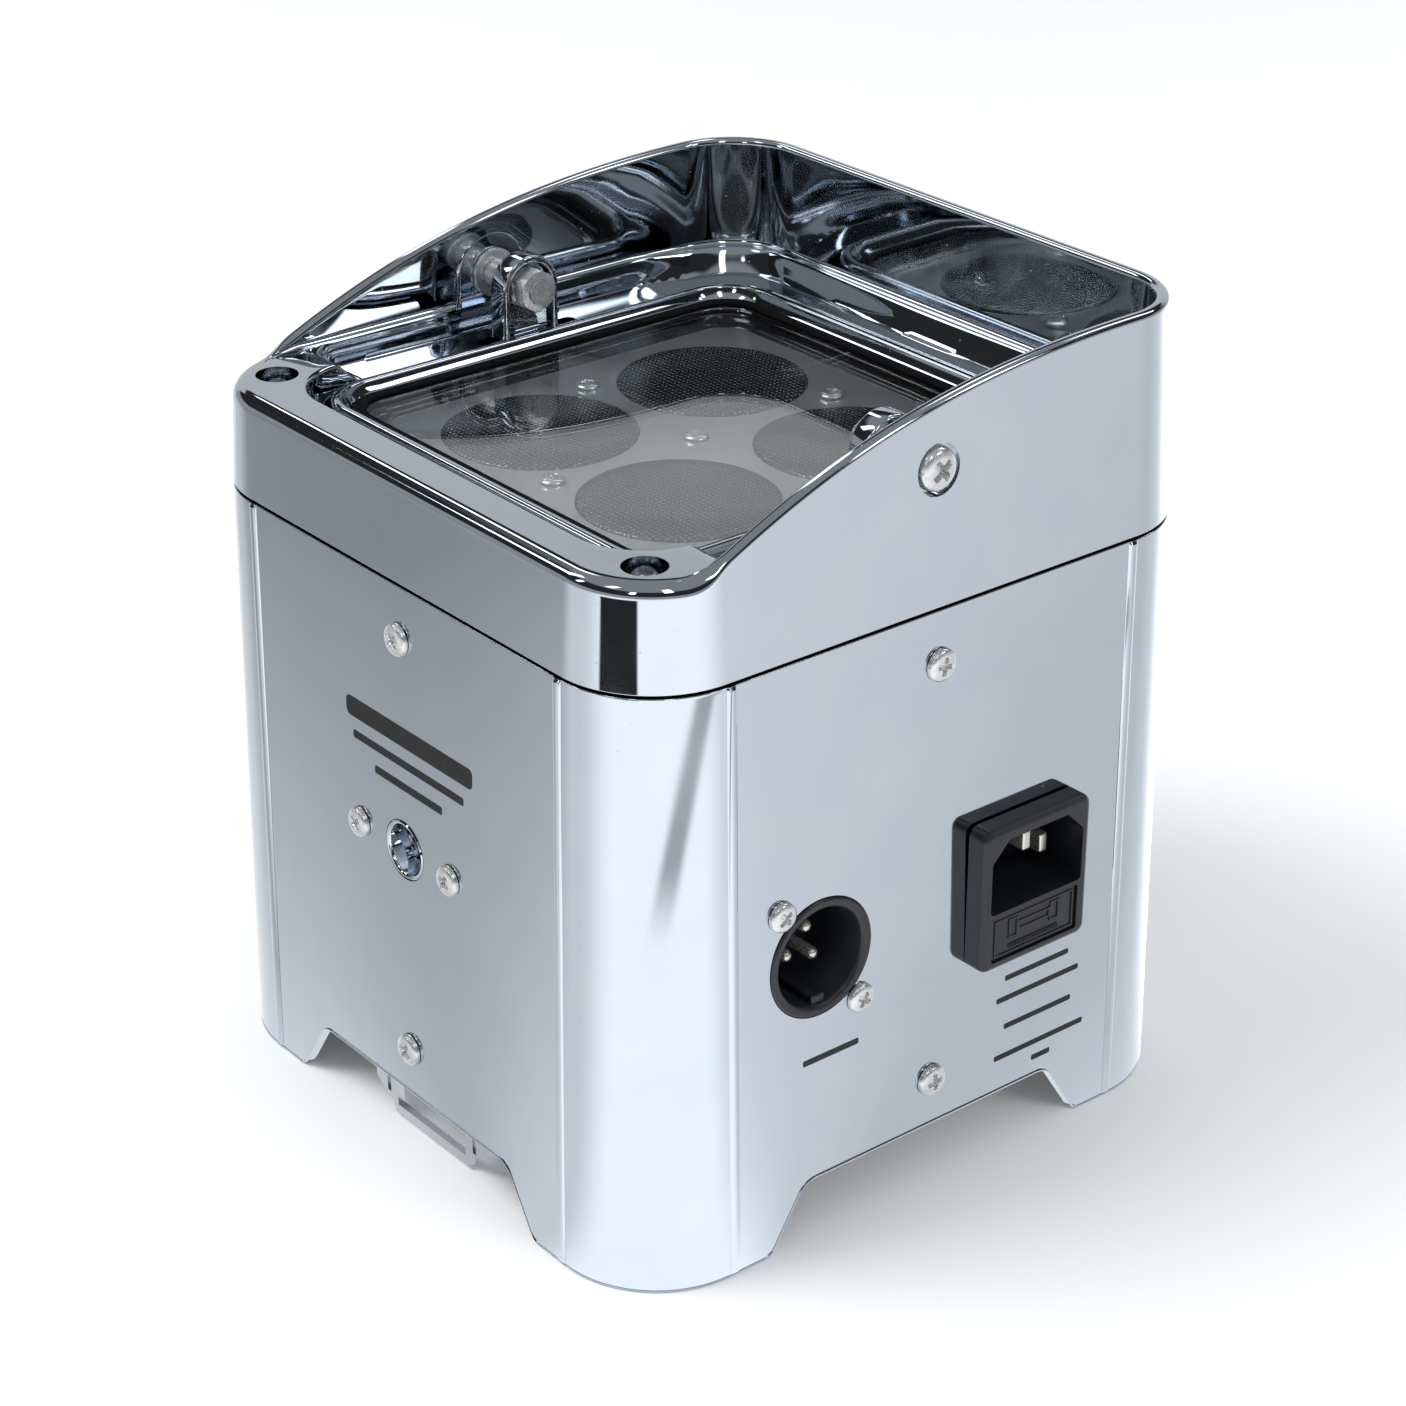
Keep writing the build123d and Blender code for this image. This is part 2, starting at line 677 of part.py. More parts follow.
rocker_pivot = (0, switch_face - 1.5, rocker_z)
with BuildPart() as rocker_blank:
    with BuildSketch(Plane.XY.offset(rocker_z - (rocker_h - 2.6) / 2)):
        with BuildLine():
            reach = (rocker_w - 4.4) / 2
            crest = switch_face + 4.2
            Polyline(
                (-reach, switch_face - 4.0),
                (reach, switch_face - 4.0),
                (reach, crest),
                (0, switch_face + 1.9),
                (-reach, crest),
                close=True,
            )
        make_face()
    extrude(amount=rocker_h - 2.6)
rocker = rocker_blank.part.rotate(Axis(rocker_pivot, (0, 0, 1)), rocker_tilt)
save("power_rocker", rocker)

with BuildPart() as switch_terminals:
    with BuildSketch(back_plane(switch_face - 22, z=rocker_z)):
        with GridLocations(8, 0.1, 2, 1):
            Rectangle(0.8, 4.8)
    extrude(amount=7)
save("switch_terminals", switch_terminals.part)

# ------------------------------------------------------------------ lamp head
with BuildPart() as head_bezel:
    with BuildSketch(Plane.XY.offset(ring_bottom)):
        RectangleRounded(2 * ring_half, 2 * ring_half, 12.0)
    extrude(amount=ring_top - ring_bottom)
    top_edges = head_bezel.faces().sort_by(Axis.Z)[-1].edges()
    fillet(top_edges, 1.0)

    # Lugs at the middle of the right and left sides, each on a stout foot.
    for side in (right_plane, left_plane):
        with BuildSketch(side(lug_in, pivot_y, pivot_z)):
            Circle(lug_w / 2)
            with Locations((0, (ring_bottom - pivot_z) / 2)):
                Rectangle(lug_w, pivot_z - ring_bottom)
        extrude(amount=lug_out - lug_in)
        with BuildSketch(side(lug_in - 1, pivot_y, pivot_z)):
            Circle(lug_w / 2 - 1.5)
            with Locations((0, -4.0)):
                Rectangle(lug_w - 3.0, 8.0)
        extrude(amount=3.0, mode=Mode.SUBTRACT)
        with BuildSketch(side(lug_in, pivot_y, pivot_z)):
            Circle(bolt_r + bolt_play)
        extrude(amount=8, mode=Mode.SUBTRACT)

    # The opening leans in under a thin rim, and the glass seats below it.
    with BuildSketch(Plane.XY.offset(ring_bottom)):
        RectangleRounded(2 * glass_half + 0.2, 2 * glass_half + 0.2, 10.0)
    extrude(amount=3.6, mode=Mode.SUBTRACT)
    with BuildSketch(Plane.XY.offset(ring_bottom + 3.0)):
        RectangleRounded(2 * opening_half, 2 * opening_half, 9.0)
    extrude(amount=20, taper=-30, mode=Mode.SUBTRACT)
save("head_bezel", head_bezel.part)

glass_low = 134.6
glass_thick = 2.4
with BuildPart() as head_glass:
    with BuildSketch(Plane.XY.offset(glass_low)):
        RectangleRounded(2 * glass_half, 2 * glass_half, 9.8)
    extrude(amount=glass_thick)
save("head_glass", head_glass.part)

with BuildPart() as glass_gasket:
    with BuildSketch(Plane.XY.offset(glass_low + glass_thick)):
        RectangleRounded(2 * glass_half, 2 * glass_half, 9.8)
        RectangleRounded(2 * (opening_half - 2.6), 2 * (opening_half - 2.6), 7.5, mode=Mode.SUBTRACT)
    extrude(amount=0.55)
save("glass_gasket", glass_gasket.part)

plate_half = 46.5
with BuildPart() as shade_frame:
    with BuildSketch(Plane.XY.offset(plate_top)):
        RectangleRounded(2 * 49.6, 2 * 49.6, 9.0)
    extrude(amount=glass_low - 0.1 - plate_top)
    with BuildSketch(Plane.XY.offset(plate_top - 0.1)):
        RectangleRounded(2 * 45.0, 2 * 45.0, 7.0)
    extrude(amount=4, taper=-35, mode=Mode.SUBTRACT)
save("shade_frame", shade_frame.part)

screw_reach = 34.4
plate_spots = ((0, 0), (screw_reach, 0), (-screw_reach, 0), (0, screw_reach), (0, -screw_reach))
with BuildPart() as lens_plate:
    with BuildSketch(Plane.XY.offset(plate_top - 1.8)):
        RectangleRounded(2 * plate_half, 2 * plate_half, 8.0)
        with GridLocations(2 * lens_pitch, 2 * lens_pitch, 2, 2):
            Circle(lens_r + 0.12, mode=Mode.SUBTRACT)
        with Locations(*plate_spots):
            Circle(1.4, mode=Mode.SUBTRACT)
    extrude(amount=1.8)
save("lens_plate", lens_plate.part)

lens_low = 119.4
lens_list = []
for place in GridLocations(2 * lens_pitch, 2 * lens_pitch, 2, 2):
    with BuildPart() as lens:
        with BuildSketch(Plane.XZ):
            with BuildLine():
                Polyline(
                    (0, lens_low + 4.0),
                    (4.0, lens_low + 4.0),
                    (4.6, lens_low),
                    (6.6, lens_low),
                    (13.5, lens_low + 6.0),
                    (lens_r, plate_top - 2.0),
                    (lens_r, plate_top + 0.3),
                    (0, plate_top + 0.3),
                    close=True,
                )
            make_face()
        revolve(axis=Axis.Z)
    lens_list.append(place * lens.part)
save_group("lenses", lens_list)

plate_heads = []
for x, y in plate_spots:
    plate_heads.append(pan_screw(Plane.XY.offset(plate_top).move(Pos(x, y, 0)), 2.6, 1.2, 1.3, 18.0))
save_group("plate_screws", plate_heads)

board_top = 117.4
with BuildPart() as led_board:
    with BuildSketch(Plane.XY.offset(board_top - 1.6)):
        RectangleRounded(2 * 42.5, 2 * 42.5, 5.0)
        with Locations(*plate_spots):
            Circle(1.4, mode=Mode.SUBTRACT)
    extrude(amount=1.6)
save("led_board", led_board.part)

with BuildPart() as led_emitters:
    with BuildSketch(Plane.XY.offset(board_top)):
        with GridLocations(2 * lens_pitch, 2 * lens_pitch, 2, 2):
            Rectangle(6.4, 6.4)
    extrude(amount=1.0)
    with BuildSketch(Plane.XY.offset(board_top + 1.0)):
        with GridLocations(2 * lens_pitch, 2 * lens_pitch, 2, 2):
            Circle(2.8)
    extrude(amount=1.6, taper=20)
save("led_emitters", led_emitters.part)

sink_base = 3.0
fin_low = 109.2
with BuildPart() as heat_sink:
    sink_top = board_top - 1.6
    with BuildSketch(Plane.XY.offset(sink_top - sink_base)):
        Rectangle(80, 80)
    extrude(amount=sink_base)
    with BuildSketch(Plane.XY.offset(fin_low)):
        with GridLocations(6.5, 1, 12, 1):
            Rectangle(1.6, 72)
    extrude(amount=sink_top - sink_base - fin_low)
    with BuildSketch(Plane.XY.offset(sink_top)):
        with Locations(*plate_spots):
            Circle(1.3)
    extrude(amount=-2.5, mode=Mode.SUBTRACT)
save("heat_sink", heat_sink.part)

cup_top = ring_bottom - 0.05
cup_low = 107.6
cup_lean = math.degrees(math.atan(10.5 / (cup_top - cup_low)))
with BuildPart() as head_cup:
    with BuildSketch(Plane.XY.offset(cup_top)):
        RectangleRounded(2 * 52.0, 2 * 52.0, 11.0)
    extrude(amount=-(cup_top - cup_low), taper=cup_lean)
    with BuildSketch(Plane.XY.offset(cup_top)):
        RectangleRounded(2 * 50.7, 2 * 50.7, 9.7)
    extrude(amount=-(cup_top - cup_low - 1.4), taper=cup_lean, mode=Mode.SUBTRACT)
    # Inner ledge that the lens plate rests on.
    with BuildSketch(Plane.XY.offset(plate_top - 1.85)):
        RectangleRounded(2 * 50.2, 2 * 50.2, 9.0)
        RectangleRounded(2 * 44.4, 2 * 44.4, 7.0, mode=Mode.SUBTRACT)
    extrude(amount=-1.6)
    with BuildSketch(Plane.XY.offset(cup_low - 1)):
        RectangleRounded(30, 12, 3)
    extrude(amount=4, mode=Mode.SUBTRACT)
save("head_cup", head_cup.part)

# ------------------------------------------------------------------ tilt pivot hardware
bolts = []
nuts = []
washers = []
sleeves = []
for side in (right_plane, left_plane):
    seat_x = hood_half(pivot_z) - 1.4
    bolts.append(pan_screw(side(seat_x, pivot_y, pivot_z), 4.3, 2.6, bolt_r, seat_x - 48.6))
    with BuildPart() as nut:
        with BuildSketch(side(49.2, pivot_y, pivot_z)):
            RegularPolygon(4.0, 6, major_radius=False)
            Circle(bolt_r, mode=Mode.SUBTRACT)
        extrude(amount=lug_in + 1.95 - 49.2)
    nuts.append(nut.part)
    with BuildPart() as washer:
        for x_in, x_out, r in ((lug_out + 0.1, lug_out + 1.3, 4.4), (pad_face - 1.3, pad_face, 5.0)):
            with BuildSketch(side(x_in, pivot_y, pivot_z)):
                Circle(r)
                Circle(bolt_r + 0.05, mode=Mode.SUBTRACT)
            extrude(amount=x_out - x_in)
    washers.append(washer.part)
    with BuildPart() as sleeve:
        with BuildSketch(side(lug_out + 1.3, pivot_y, pivot_z)):
            Circle(3.3)
            Circle(bolt_r + 0.05, mode=Mode.SUBTRACT)
        extrude(amount=pad_face - 1.3 - lug_out - 1.3)
    sleeves.append(sleeve.part)
save_group("pivot_bolts", bolts)
save_group("pivot_nuts", nuts)
save_group("pivot_washers", washers)
save_group("pivot_sleeves", sleeves)

# ------------------------------------------------------------------ fold-out stand
stand_half = 19.0
lip_y = -67.4
lip_thick = 1.5
plate_low = 10.2
with BuildPart() as fold_stand:
    with BuildSketch(Plane.XY.offset(plate_low)):
        with Locations((0, (lip_y + stand_pin_y) / 2)):
            Rectangle(2 * stand_half, stand_pin_y - lip_y)
        with Locations((0, (lip_y + stand_pin_y) / 2)):
            Rectangle(20, 26, mode=Mode.SUBTRACT)
    extrude(amount=lip_thick)
    # The lip at the free end: a finger bar between two slots, and a rounded ear at each side.
    with BuildSketch(front_plane(-lip_y)):
        with BuildLine():
            Polyline(
                (-stand_half, plate_low + lip_thick),
                (-stand_half, 6.4),
                (-14.4, 3.6),
                (-13.0, 3.6),
                (-12.6, 1.0),
                (12.6, 1.0),
                (13.0, 3.6),
                (14.4, 3.6),
                (stand_half, 6.4),
                (stand_half, plate_low + lip_thick),
                close=True,
            )
        make_face()
        with Locations((0, 5.6)):
            Rectangle(23.2, 5.2, mode=Mode.SUBTRACT)
        with Locations((-14.6, 6.6), (14.6, 6.6)):
            Rectangle(1.1, 3.4, mode=Mode.SUBTRACT)
    extrude(amount=-lip_thick)
    # Rolled knuckle around the pin.
    with BuildSketch(Plane.YZ.offset(-stand_half)):
        with Locations((stand_pin_y, stand_pin_z)):
            Circle(3.1)
    extrude(amount=2 * stand_half)
    with BuildSketch(Plane.YZ.offset(-stand_half - 1)):
        with Locations((stand_pin_y, stand_pin_z)):
            Circle(1.56)
    extrude(amount=2 * stand_half + 2, mode=Mode.SUBTRACT)
save("fold_stand", fold_stand.part)

with BuildPart() as stand_pin:
    with BuildSketch(Plane.YZ.offset(-27.0)):
        with Locations((stand_pin_y, stand_pin_z)):
            Circle(1.5)
    extrude(amount=54)
save("stand_pin", stand_pin.part)

# ------------------------------------------------------------------ battery and boards
floor_z = base_z + base_thick
cell_r = 9.2
cell_h = 65.0
cell_grid = (4, 2)
battery_y = -30.0
with BuildPart() as battery_tray:
    with BuildSketch(Plane.XY.offset(floor_z)):
        with Locations((0, battery_y)):
            Rectangle(84, 44)
    extrude(amount=12)
    with BuildSketch(Plane.XY.offset(floor_z + 2)):
        with Locations((0, battery_y)):
            Rectangle(78, 39)
    extrude(amount=20, mode=Mode.SUBTRACT)
save("battery_tray", battery_tray.part)

cells = []
for place in GridLocations(2 * cell_r + 0.4, 2 * cell_r + 0.4, *cell_grid):
    with BuildPart() as cell:
        with BuildSketch(Plane.XY.offset(floor_z + 2)):
            Circle(cell_r)
        extrude(amount=cell_h)
        with BuildSketch(Plane.XY.offset(floor_z + 2 + cell_h)):
            Circle(2.8)
        extrude(amount=1.2)
    cells.append(Pos(0, battery_y, 0) * place * cell.part)
save_group("battery_cells", cells)

with BuildPart() as battery_strap:
    strap_top = floor_z + 2 + cell_h + 1.3
    with BuildSketch(Plane.XZ.offset(-battery_y - 7)):
        with BuildLine():
            Polyline(
                (-42.3, floor_z),
                (-42.3, strap_top),
                (42.3, strap_top),
                (42.3, floor_z),
                (54, floor_z),
                (54, floor_z + 1.2),
                (43.5, floor_z + 1.2),
                (43.5, strap_top + 1.2),
                (-43.5, strap_top + 1.2),
                (-43.5, floor_z + 1.2),
                (-54, floor_z + 1.2),
                (-54, floor_z),
                close=True,
            )
        make_face()
    extrude(amount=14)
save("battery_strap", battery_strap.part)

with BuildPart() as supply_board:
    with BuildSketch(Plane.XY.offset(floor_z + 5)):
        with Locations((-6, 30)):
            Rectangle(80, 40)
    extrude(amount=1.6)
    with BuildSketch(Plane.XY.offset(floor_z + 6.6)):
        with Locations((-28, 28)):
            Rectangle(22, 20)
        with Locations((-4, 36), (-4, 22)):
            Circle(5.0)
    extrude(amount=18)
    with BuildSketch(Plane.XY.offset(floor_z)):
        with Locations((-6, 30)):
            with GridLocations(72, 32, 2, 2):
                Circle(2.5)
    extrude(amount=5)
save("supply_board", supply_board.part)

with BuildPart() as control_board:
    with BuildSketch(back_plane(panel_face - 12.0, z=panel_z)):
        Rectangle(70, 44)
    extrude(amount=1.6)
    with BuildSketch(back_plane(panel_face - 12.0, z=panel_z)):
        with Locations((-16, 4), (14, 6)):
            Rectangle(12, 12)
    extrude(amount=-2.0)
    with BuildSketch(back_plane(panel_face - 10.4, z=panel_z)):
        with Locations(*[(-x, key_z - panel_z) for x in key_x]):
            Rectangle(6, 6)
    extrude(amount=3.0)
save("control_board", control_board.part)

with BuildPart() as driver_board:
    with BuildSketch(left_plane(50.0, 20.0, 66.0)):
        Rectangle(50, 40)
    extrude(amount=1.6)
    with BuildSketch(left_plane(50.0, 20.0, 66.0)):
        with GridLocations(14, 16, 3, 2):
            Rectangle(9, 10)
    extrude(amount=-6)
save("driver_board", driver_board.part)

with BuildPart() as radio_antenna:
    with BuildSketch(Plane.XY.offset(floor_z)):
        with Locations((56, -6)):
            Rectangle(9, 16)
    extrude(amount=2.4)
    with BuildSketch(Plane.XY.offset(floor_z + 2.4)):
        with Locations((56, -6)):
            Circle(1.6)
    extrude(amount=34)
save("radio_antenna", radio_antenna.part)
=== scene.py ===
import json
import math

import bmesh
import bpy
import numpy as np
from mathutils import Matrix, Vector


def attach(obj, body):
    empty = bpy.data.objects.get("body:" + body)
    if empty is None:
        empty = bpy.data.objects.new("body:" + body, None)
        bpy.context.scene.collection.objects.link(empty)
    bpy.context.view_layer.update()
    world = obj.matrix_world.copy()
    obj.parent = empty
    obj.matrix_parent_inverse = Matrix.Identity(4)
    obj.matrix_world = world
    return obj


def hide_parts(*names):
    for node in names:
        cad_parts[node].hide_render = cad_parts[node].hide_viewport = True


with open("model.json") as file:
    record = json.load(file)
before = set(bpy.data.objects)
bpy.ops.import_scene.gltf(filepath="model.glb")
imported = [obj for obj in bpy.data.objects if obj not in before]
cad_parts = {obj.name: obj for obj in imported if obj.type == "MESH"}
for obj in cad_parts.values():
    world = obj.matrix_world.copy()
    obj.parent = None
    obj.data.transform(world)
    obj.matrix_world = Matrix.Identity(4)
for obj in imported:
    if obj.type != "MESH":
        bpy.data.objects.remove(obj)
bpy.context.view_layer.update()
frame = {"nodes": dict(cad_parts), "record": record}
cad = frame["nodes"]
MM = 0.001

# ---------------------------------------------------------------- case body
# The tall square body that everything is fixed into. It is moulded with a slight draft, stands on a
# foot at each corner, and is plated bright chromium all over. Sizes are in millimetres.
SEAM_Z = 122.6
CORNER_AT = 49.8  # centres of the corner curves, the same at every height
CASE_WALL = 2.8


def case_half(z):
    """Half the case's width at height z: 70 at the seam, and 1.8 more at the floor."""
    return 70.0 + 1.8 * (1 - np.asarray(z) / SEAM_Z)


def linear(code):
    """sRGB hex colour to linear RGBA: c / 12.92 below 0.04045, else ((c + 0.055) / 1.055) ** 2.4."""
    c = np.array([int(code[i : i + 2], 16) for i in (1, 3, 5)]) / 255
    c = np.where(c <= 0.04045, c / 12.92, ((c + 0.055) / 1.055) ** 2.4)
    return (*c.tolist(), 1.0)


def material(name):
    """A material with its Principled shader and an Object coordinate output."""
    mat = bpy.data.materials.new(name)
    mat.use_nodes = True
    shader = mat.node_tree.nodes["Principled BSDF"]
    place = mat.node_tree.nodes.new("ShaderNodeTexCoord").outputs["Object"]
    return mat, shader, place


def add(mat, kind, values, feeds):
    """Adds a node, sets its named properties or sockets, and links outputs into its inputs."""
    node = mat.node_tree.nodes.new("ShaderNode" + kind)
    for key, value in values.items():
        if isinstance(key, str) and hasattr(node, key):
            setattr(node, key, value)
        else:
            node.inputs[key].default_value = value
    for key, output in feeds.items():
        mat.node_tree.links.new(output, node.inputs[key])
    return node


def set_shader(shader, values, feeds=None, mat=None):
    """Sets the shader's own sockets, and links the ones that a pattern drives."""
    for key, value in values.items():
        shader.inputs[key].default_value = value
    for key, output in (feeds or {}).items():
        mat.node_tree.links.new(output, shader.inputs[key])


def noise(mat, place, size_mm, detail=3.0, stretch=None):
    """Noise whose features are about size_mm across, as a 0 to 1 value."""
    if stretch:
        place = add(mat, "Mapping", {"Scale": stretch}, {"Vector": place}).outputs[0]
    return add(mat, "TexNoise", {"Scale": 1000 / size_mm, "Detail": detail}, {"Vector": place}).outputs[0]


def remap(mat, value, low, high, start=0.0, end=1.0):
    """Maps a value from start..end to low..high."""
    values = {"From Min": start, "From Max": end, "To Min": low, "To Max": high}
    return add(mat, "MapRange", values, {"Value": value}).outputs[0]


def bump(mat, height, strength, depth_mm, under=None):
    """Surface relief depth_mm high, laid over the relief under it."""
    feeds = {"Height": height}
    if under is not None:
        feeds["Normal"] = under
    return add(mat, "Bump", {"Strength": strength, "Distance": depth_mm * MM}, feeds).outputs[0]


def square_loop(half_x, y_low, y_high, r, along_x, along_y, turn=24):
    """A rounded rectangle as points: four straight sides at the given fractions, and turn steps of arc
    between them. It runs anticlockwise from the front side's left end."""
    cx = half_x - r
    lo, hi = y_low + r, y_high - r
    arc = np.linspace(0, math.pi / 2, turn + 1)[1:-1] if turn > 1 else np.empty(0)

    def corner(x, y, start):
        return np.stack([x + r * np.cos(start + arc), y + r * np.sin(start + arc)], -1)

    def side(x0, y0, x1, y1, parts):
        parts = parts[:, None]
        return np.array([[x0, y0]]) * (1 - parts) + np.array([[x1, y1]]) * parts

    return np.concatenate([
        side(-cx, y_low, cx, y_low, along_x),
        corner(cx, lo, -math.pi / 2),
        side(half_x, lo, half_x, hi, along_y),
        corner(cx, hi, 0.0),
        side(cx, y_high, -cx, y_high, along_x),
        corner(-cx, hi, math.pi / 2),
        side(-half_x, hi, -half_x, lo, along_y),
        corner(-cx, lo, math.pi),
    ])


def woven(name, grid, close_rows=True, close_cols=True):
    """A surface through a grid of points in millimetres: each point is joined to its neighbours in its
    row and in its column by quads, and a closed direction joins its last line to its first."""
    rows, cols, _ = grid.shape
    i, j = np.meshgrid(
        np.arange(rows if close_rows else rows - 1), np.arange(cols if close_cols else cols - 1), indexing="ij"
    )
    i2, j2 = (i + 1) % rows, (j + 1) % cols
    faces = np.stack([i * cols + j, i * cols + j2, i2 * cols + j2, i2 * cols + j], -1).reshape(-1, 4)
    return solid(name, grid.reshape(-1, 3), faces)


def solid(name, points, faces, merge=0.002):
    """A mesh object from points in millimetres; doubles merge and normals are turned outwards."""
    mesh = bpy.data.meshes.new(name)
    faces = faces if isinstance(faces, list) else faces.tolist()
    mesh.from_pydata((np.asarray(points) * MM).tolist(), [], faces)
    work = bmesh.new()
    work.from_mesh(mesh)
    bmesh.ops.remove_doubles(work, verts=work.verts, dist=merge * MM)
    bmesh.ops.dissolve_degenerate(work, edges=work.edges, dist=merge * MM / 4)
    bmesh.ops.recalc_face_normals(work, faces=work.faces)
    work.to_mesh(mesh)
    work.free()
    piece = bpy.data.objects.new(name, mesh)
    bpy.context.scene.collection.objects.link(piece)
    return piece


def smooth(piece, angle=32.0, weighted=True):
    """Smooth shading with sharp edges above an angle, and flat faces kept flat."""
    piece.data.shade_smooth()
    piece.data.set_sharp_from_angle(angle=math.radians(angle))
    if weighted:
        keep = piece.modifiers.new("flat_faces", "WEIGHTED_NORMAL")
        keep.keep_sharp = True
    return piece


def cut(piece, cutters):
    """Takes the cutters away from the piece, and removes them."""
    for cutter in cutters:
        change = piece.modifiers.new("cut", "BOOLEAN")
        change.operation = "DIFFERENCE"
        change.solver = "EXACT"
        change.object = cutter
    bpy.context.view_layer.update()
    made = bpy.data.meshes.new_from_object(piece.evaluated_get(bpy.context.evaluated_depsgraph_get()))
    piece.modifiers.clear()
    piece.data = made
    for cutter in cutters:
        bpy.data.objects.remove(cutter)
    return piece


def prism(name, outline, place, depth):
    """A straight-sided block: an outline in the plane's own x and y, carried along its z by depth."""
    origin, x_dir, z_dir = (np.array(v, float) for v in place)
    y_dir = np.cross(z_dir, x_dir)
    flat = outline[:, :1] * x_dir + outline[:, 1:] * y_dir
    points = np.concatenate([origin + flat, origin + flat + z_dir * depth])
    n = len(outline)
    ring = np.arange(n)
    sides = np.stack([ring, (ring + 1) % n, (ring + 1) % n + n, ring + n], -1).tolist()
    return solid(name, points, [ring.tolist(), (ring[::-1] + n).tolist()] + sides)


def circle(r, n=64):
    """Points of a circle."""
    a = np.arange(n) * 2 * math.pi / n
    return np.stack([r * np.cos(a), r * np.sin(a)], -1)


def oblong(w, h, r, n=8):
    """Points of a rounded rectangle about the origin."""
    return square_loop(w / 2, -h / 2, h / 2, r, np.array([0.0, 1.0]), np.array([0.0, 1.0]), n)


def wear(piece, mat, node, body="housing", also=()):
    """Gives a piece its material, sets it on its body, and lets it stand for its CAD node."""
    piece.data.materials.clear()
    piece.data.materials.append(mat)
    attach(piece, body)
    if node:
        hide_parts(node, *also)
    return piece


slot_of = {part["node"]: part["material_slot"] for part in frame["record"]["subparts"]}

# Bright chromium on a moulded case: mirror-like, a little blue, with the faint waviness of the plastic
# under it, fine wiping haze, and a few specks of dust.
chrome, chrome_shader, place = material("bright_chromium_plate")
haze = noise(chrome, place, 16, 4.0)
fine = noise(chrome, place, 2.2, 2.0)
rough = remap(chrome, haze, 0.03, 0.085, 0.35, 0.7)
dust = add(chrome, "TexVoronoi", {"Scale": 260.0, "Randomness": 1.0}, {"Vector": place}).outputs["Distance"]
speck = remap(chrome, dust, 0.35, 0.0, 0.03, 0.055)
rough = add(chrome, "Math", {"operation": "ADD"}, {0: rough, 1: speck}).outputs[0]
blues = {"data_type": "RGBA", "A": linear("#b9c2cc"), "B": linear("#c3c9d0")}
tone = add(chrome, "Mix", blues, {"Factor": haze})
peel = bump(chrome, haze, 0.012, 0.2)
peel = bump(chrome, fine, 0.012, 0.05, peel)
set_shader(chrome_shader, {"Metallic": 1.0}, {"Roughness": rough, "Normal": peel}, chrome)
chrome.node_tree.links.new(tone.outputs["Result"], chrome_shader.inputs["Base Color"])


def rounded(before, corner, after, r, n=7):
    """Points of an arc of radius r that rounds a corner between two straight runs."""
    a = (before - corner) / np.hypot(*(before - corner))
    b = (after - corner) / np.hypot(*(after - corner))
    half = math.acos(np.clip(a @ b, -1, 1)) / 2
    centre = corner + (a + b) / np.hypot(*(a + b)) * r / math.sin(half)
    start, end = corner + a * r / math.tan(half), corner + b * r / math.tan(half)
    t = np.linspace(0, 1, n)[:, None]
    chord = start * (1 - t) + end * t - centre
    return centre + chord / np.hypot(chord[:, 0], chord[:, 1])[:, None] * r


# The arch between two feet, as height against distance from the middle of the side.
FOOT_END, ARCH_FOOT, ARCH_TOP, ARCH_Z = 46.0, 39.8, 31.5, 13.0
arch_corners = np.array([[FOOT_END, 0.0], [ARCH_FOOT, 0.0], [ARCH_TOP, ARCH_Z], [0.0, ARCH_Z]])
arch = np.concatenate([
    rounded(arch_corners[0], arch_corners[1], arch_corners[2], 2.6),
    rounded(arch_corners[1], arch_corners[2], arch_corners[3], 5.0),
])
bead_at, bead_half, bead_proud = 48.65, 1.1, 0.5
bead_across = np.array([-1.0, -0.94, -0.75, -0.4, 0.0, 0.4, 0.75, 0.94, 1.0])
stations = np.concatenate([arch[:, 0], np.linspace(3, 22, 5), bead_at + bead_half * bead_across, [44.5]])
stations = np.unique(np.round(np.concatenate([-stations, [0.0], stations]), 4))
stations = np.concatenate([[-CORNER_AT], stations[np.abs(stations) < CORNER_AT - 1e-6], [CORNER_AT]])
fractions = (stations + CORNER_AT) / (2 * CORNER_AT)


def case_loop(reach):
    """The case's outline where its sides stand reach beyond the corner centres."""
    half = CORNER_AT + reach
    return square_loop(half, -half, half, reach, fractions, fractions)


case_turn = 24
per_turn = case_turn - 1
along = np.tile(np.concatenate([stations, np.full(per_turn, 60.0)]), 4)
foot_z = np.interp(np.abs(along), arch[::-1, 0], arch[::-1, 1], right=0.0)
foot_z[np.abs(along) > ARCH_FOOT + 2.4] = 0.0
across = (np.abs(along) - bead_at) / bead_half
bead = bead_proud * np.sqrt(np.clip(1 - across**2, 0, None))

case_top = SEAM_Z - 0.3
case_rows = []


def case_row(z, inset, rounding=0.0, proud=0.0):
    """One loop of the body at height z, inset from the outside; z may differ from column to column."""
    z = np.broadcast_to(np.asarray(z, float), foot_z.shape)
    outline = case_loop(1.0)
    middle = case_loop(1e-9)
    out = outline - middle
    reach = case_half(z) - CORNER_AT - inset - rounding + bead * proud
    case_rows.append(np.concatenate([middle + out * reach[:, None], z[:, None]], -1))


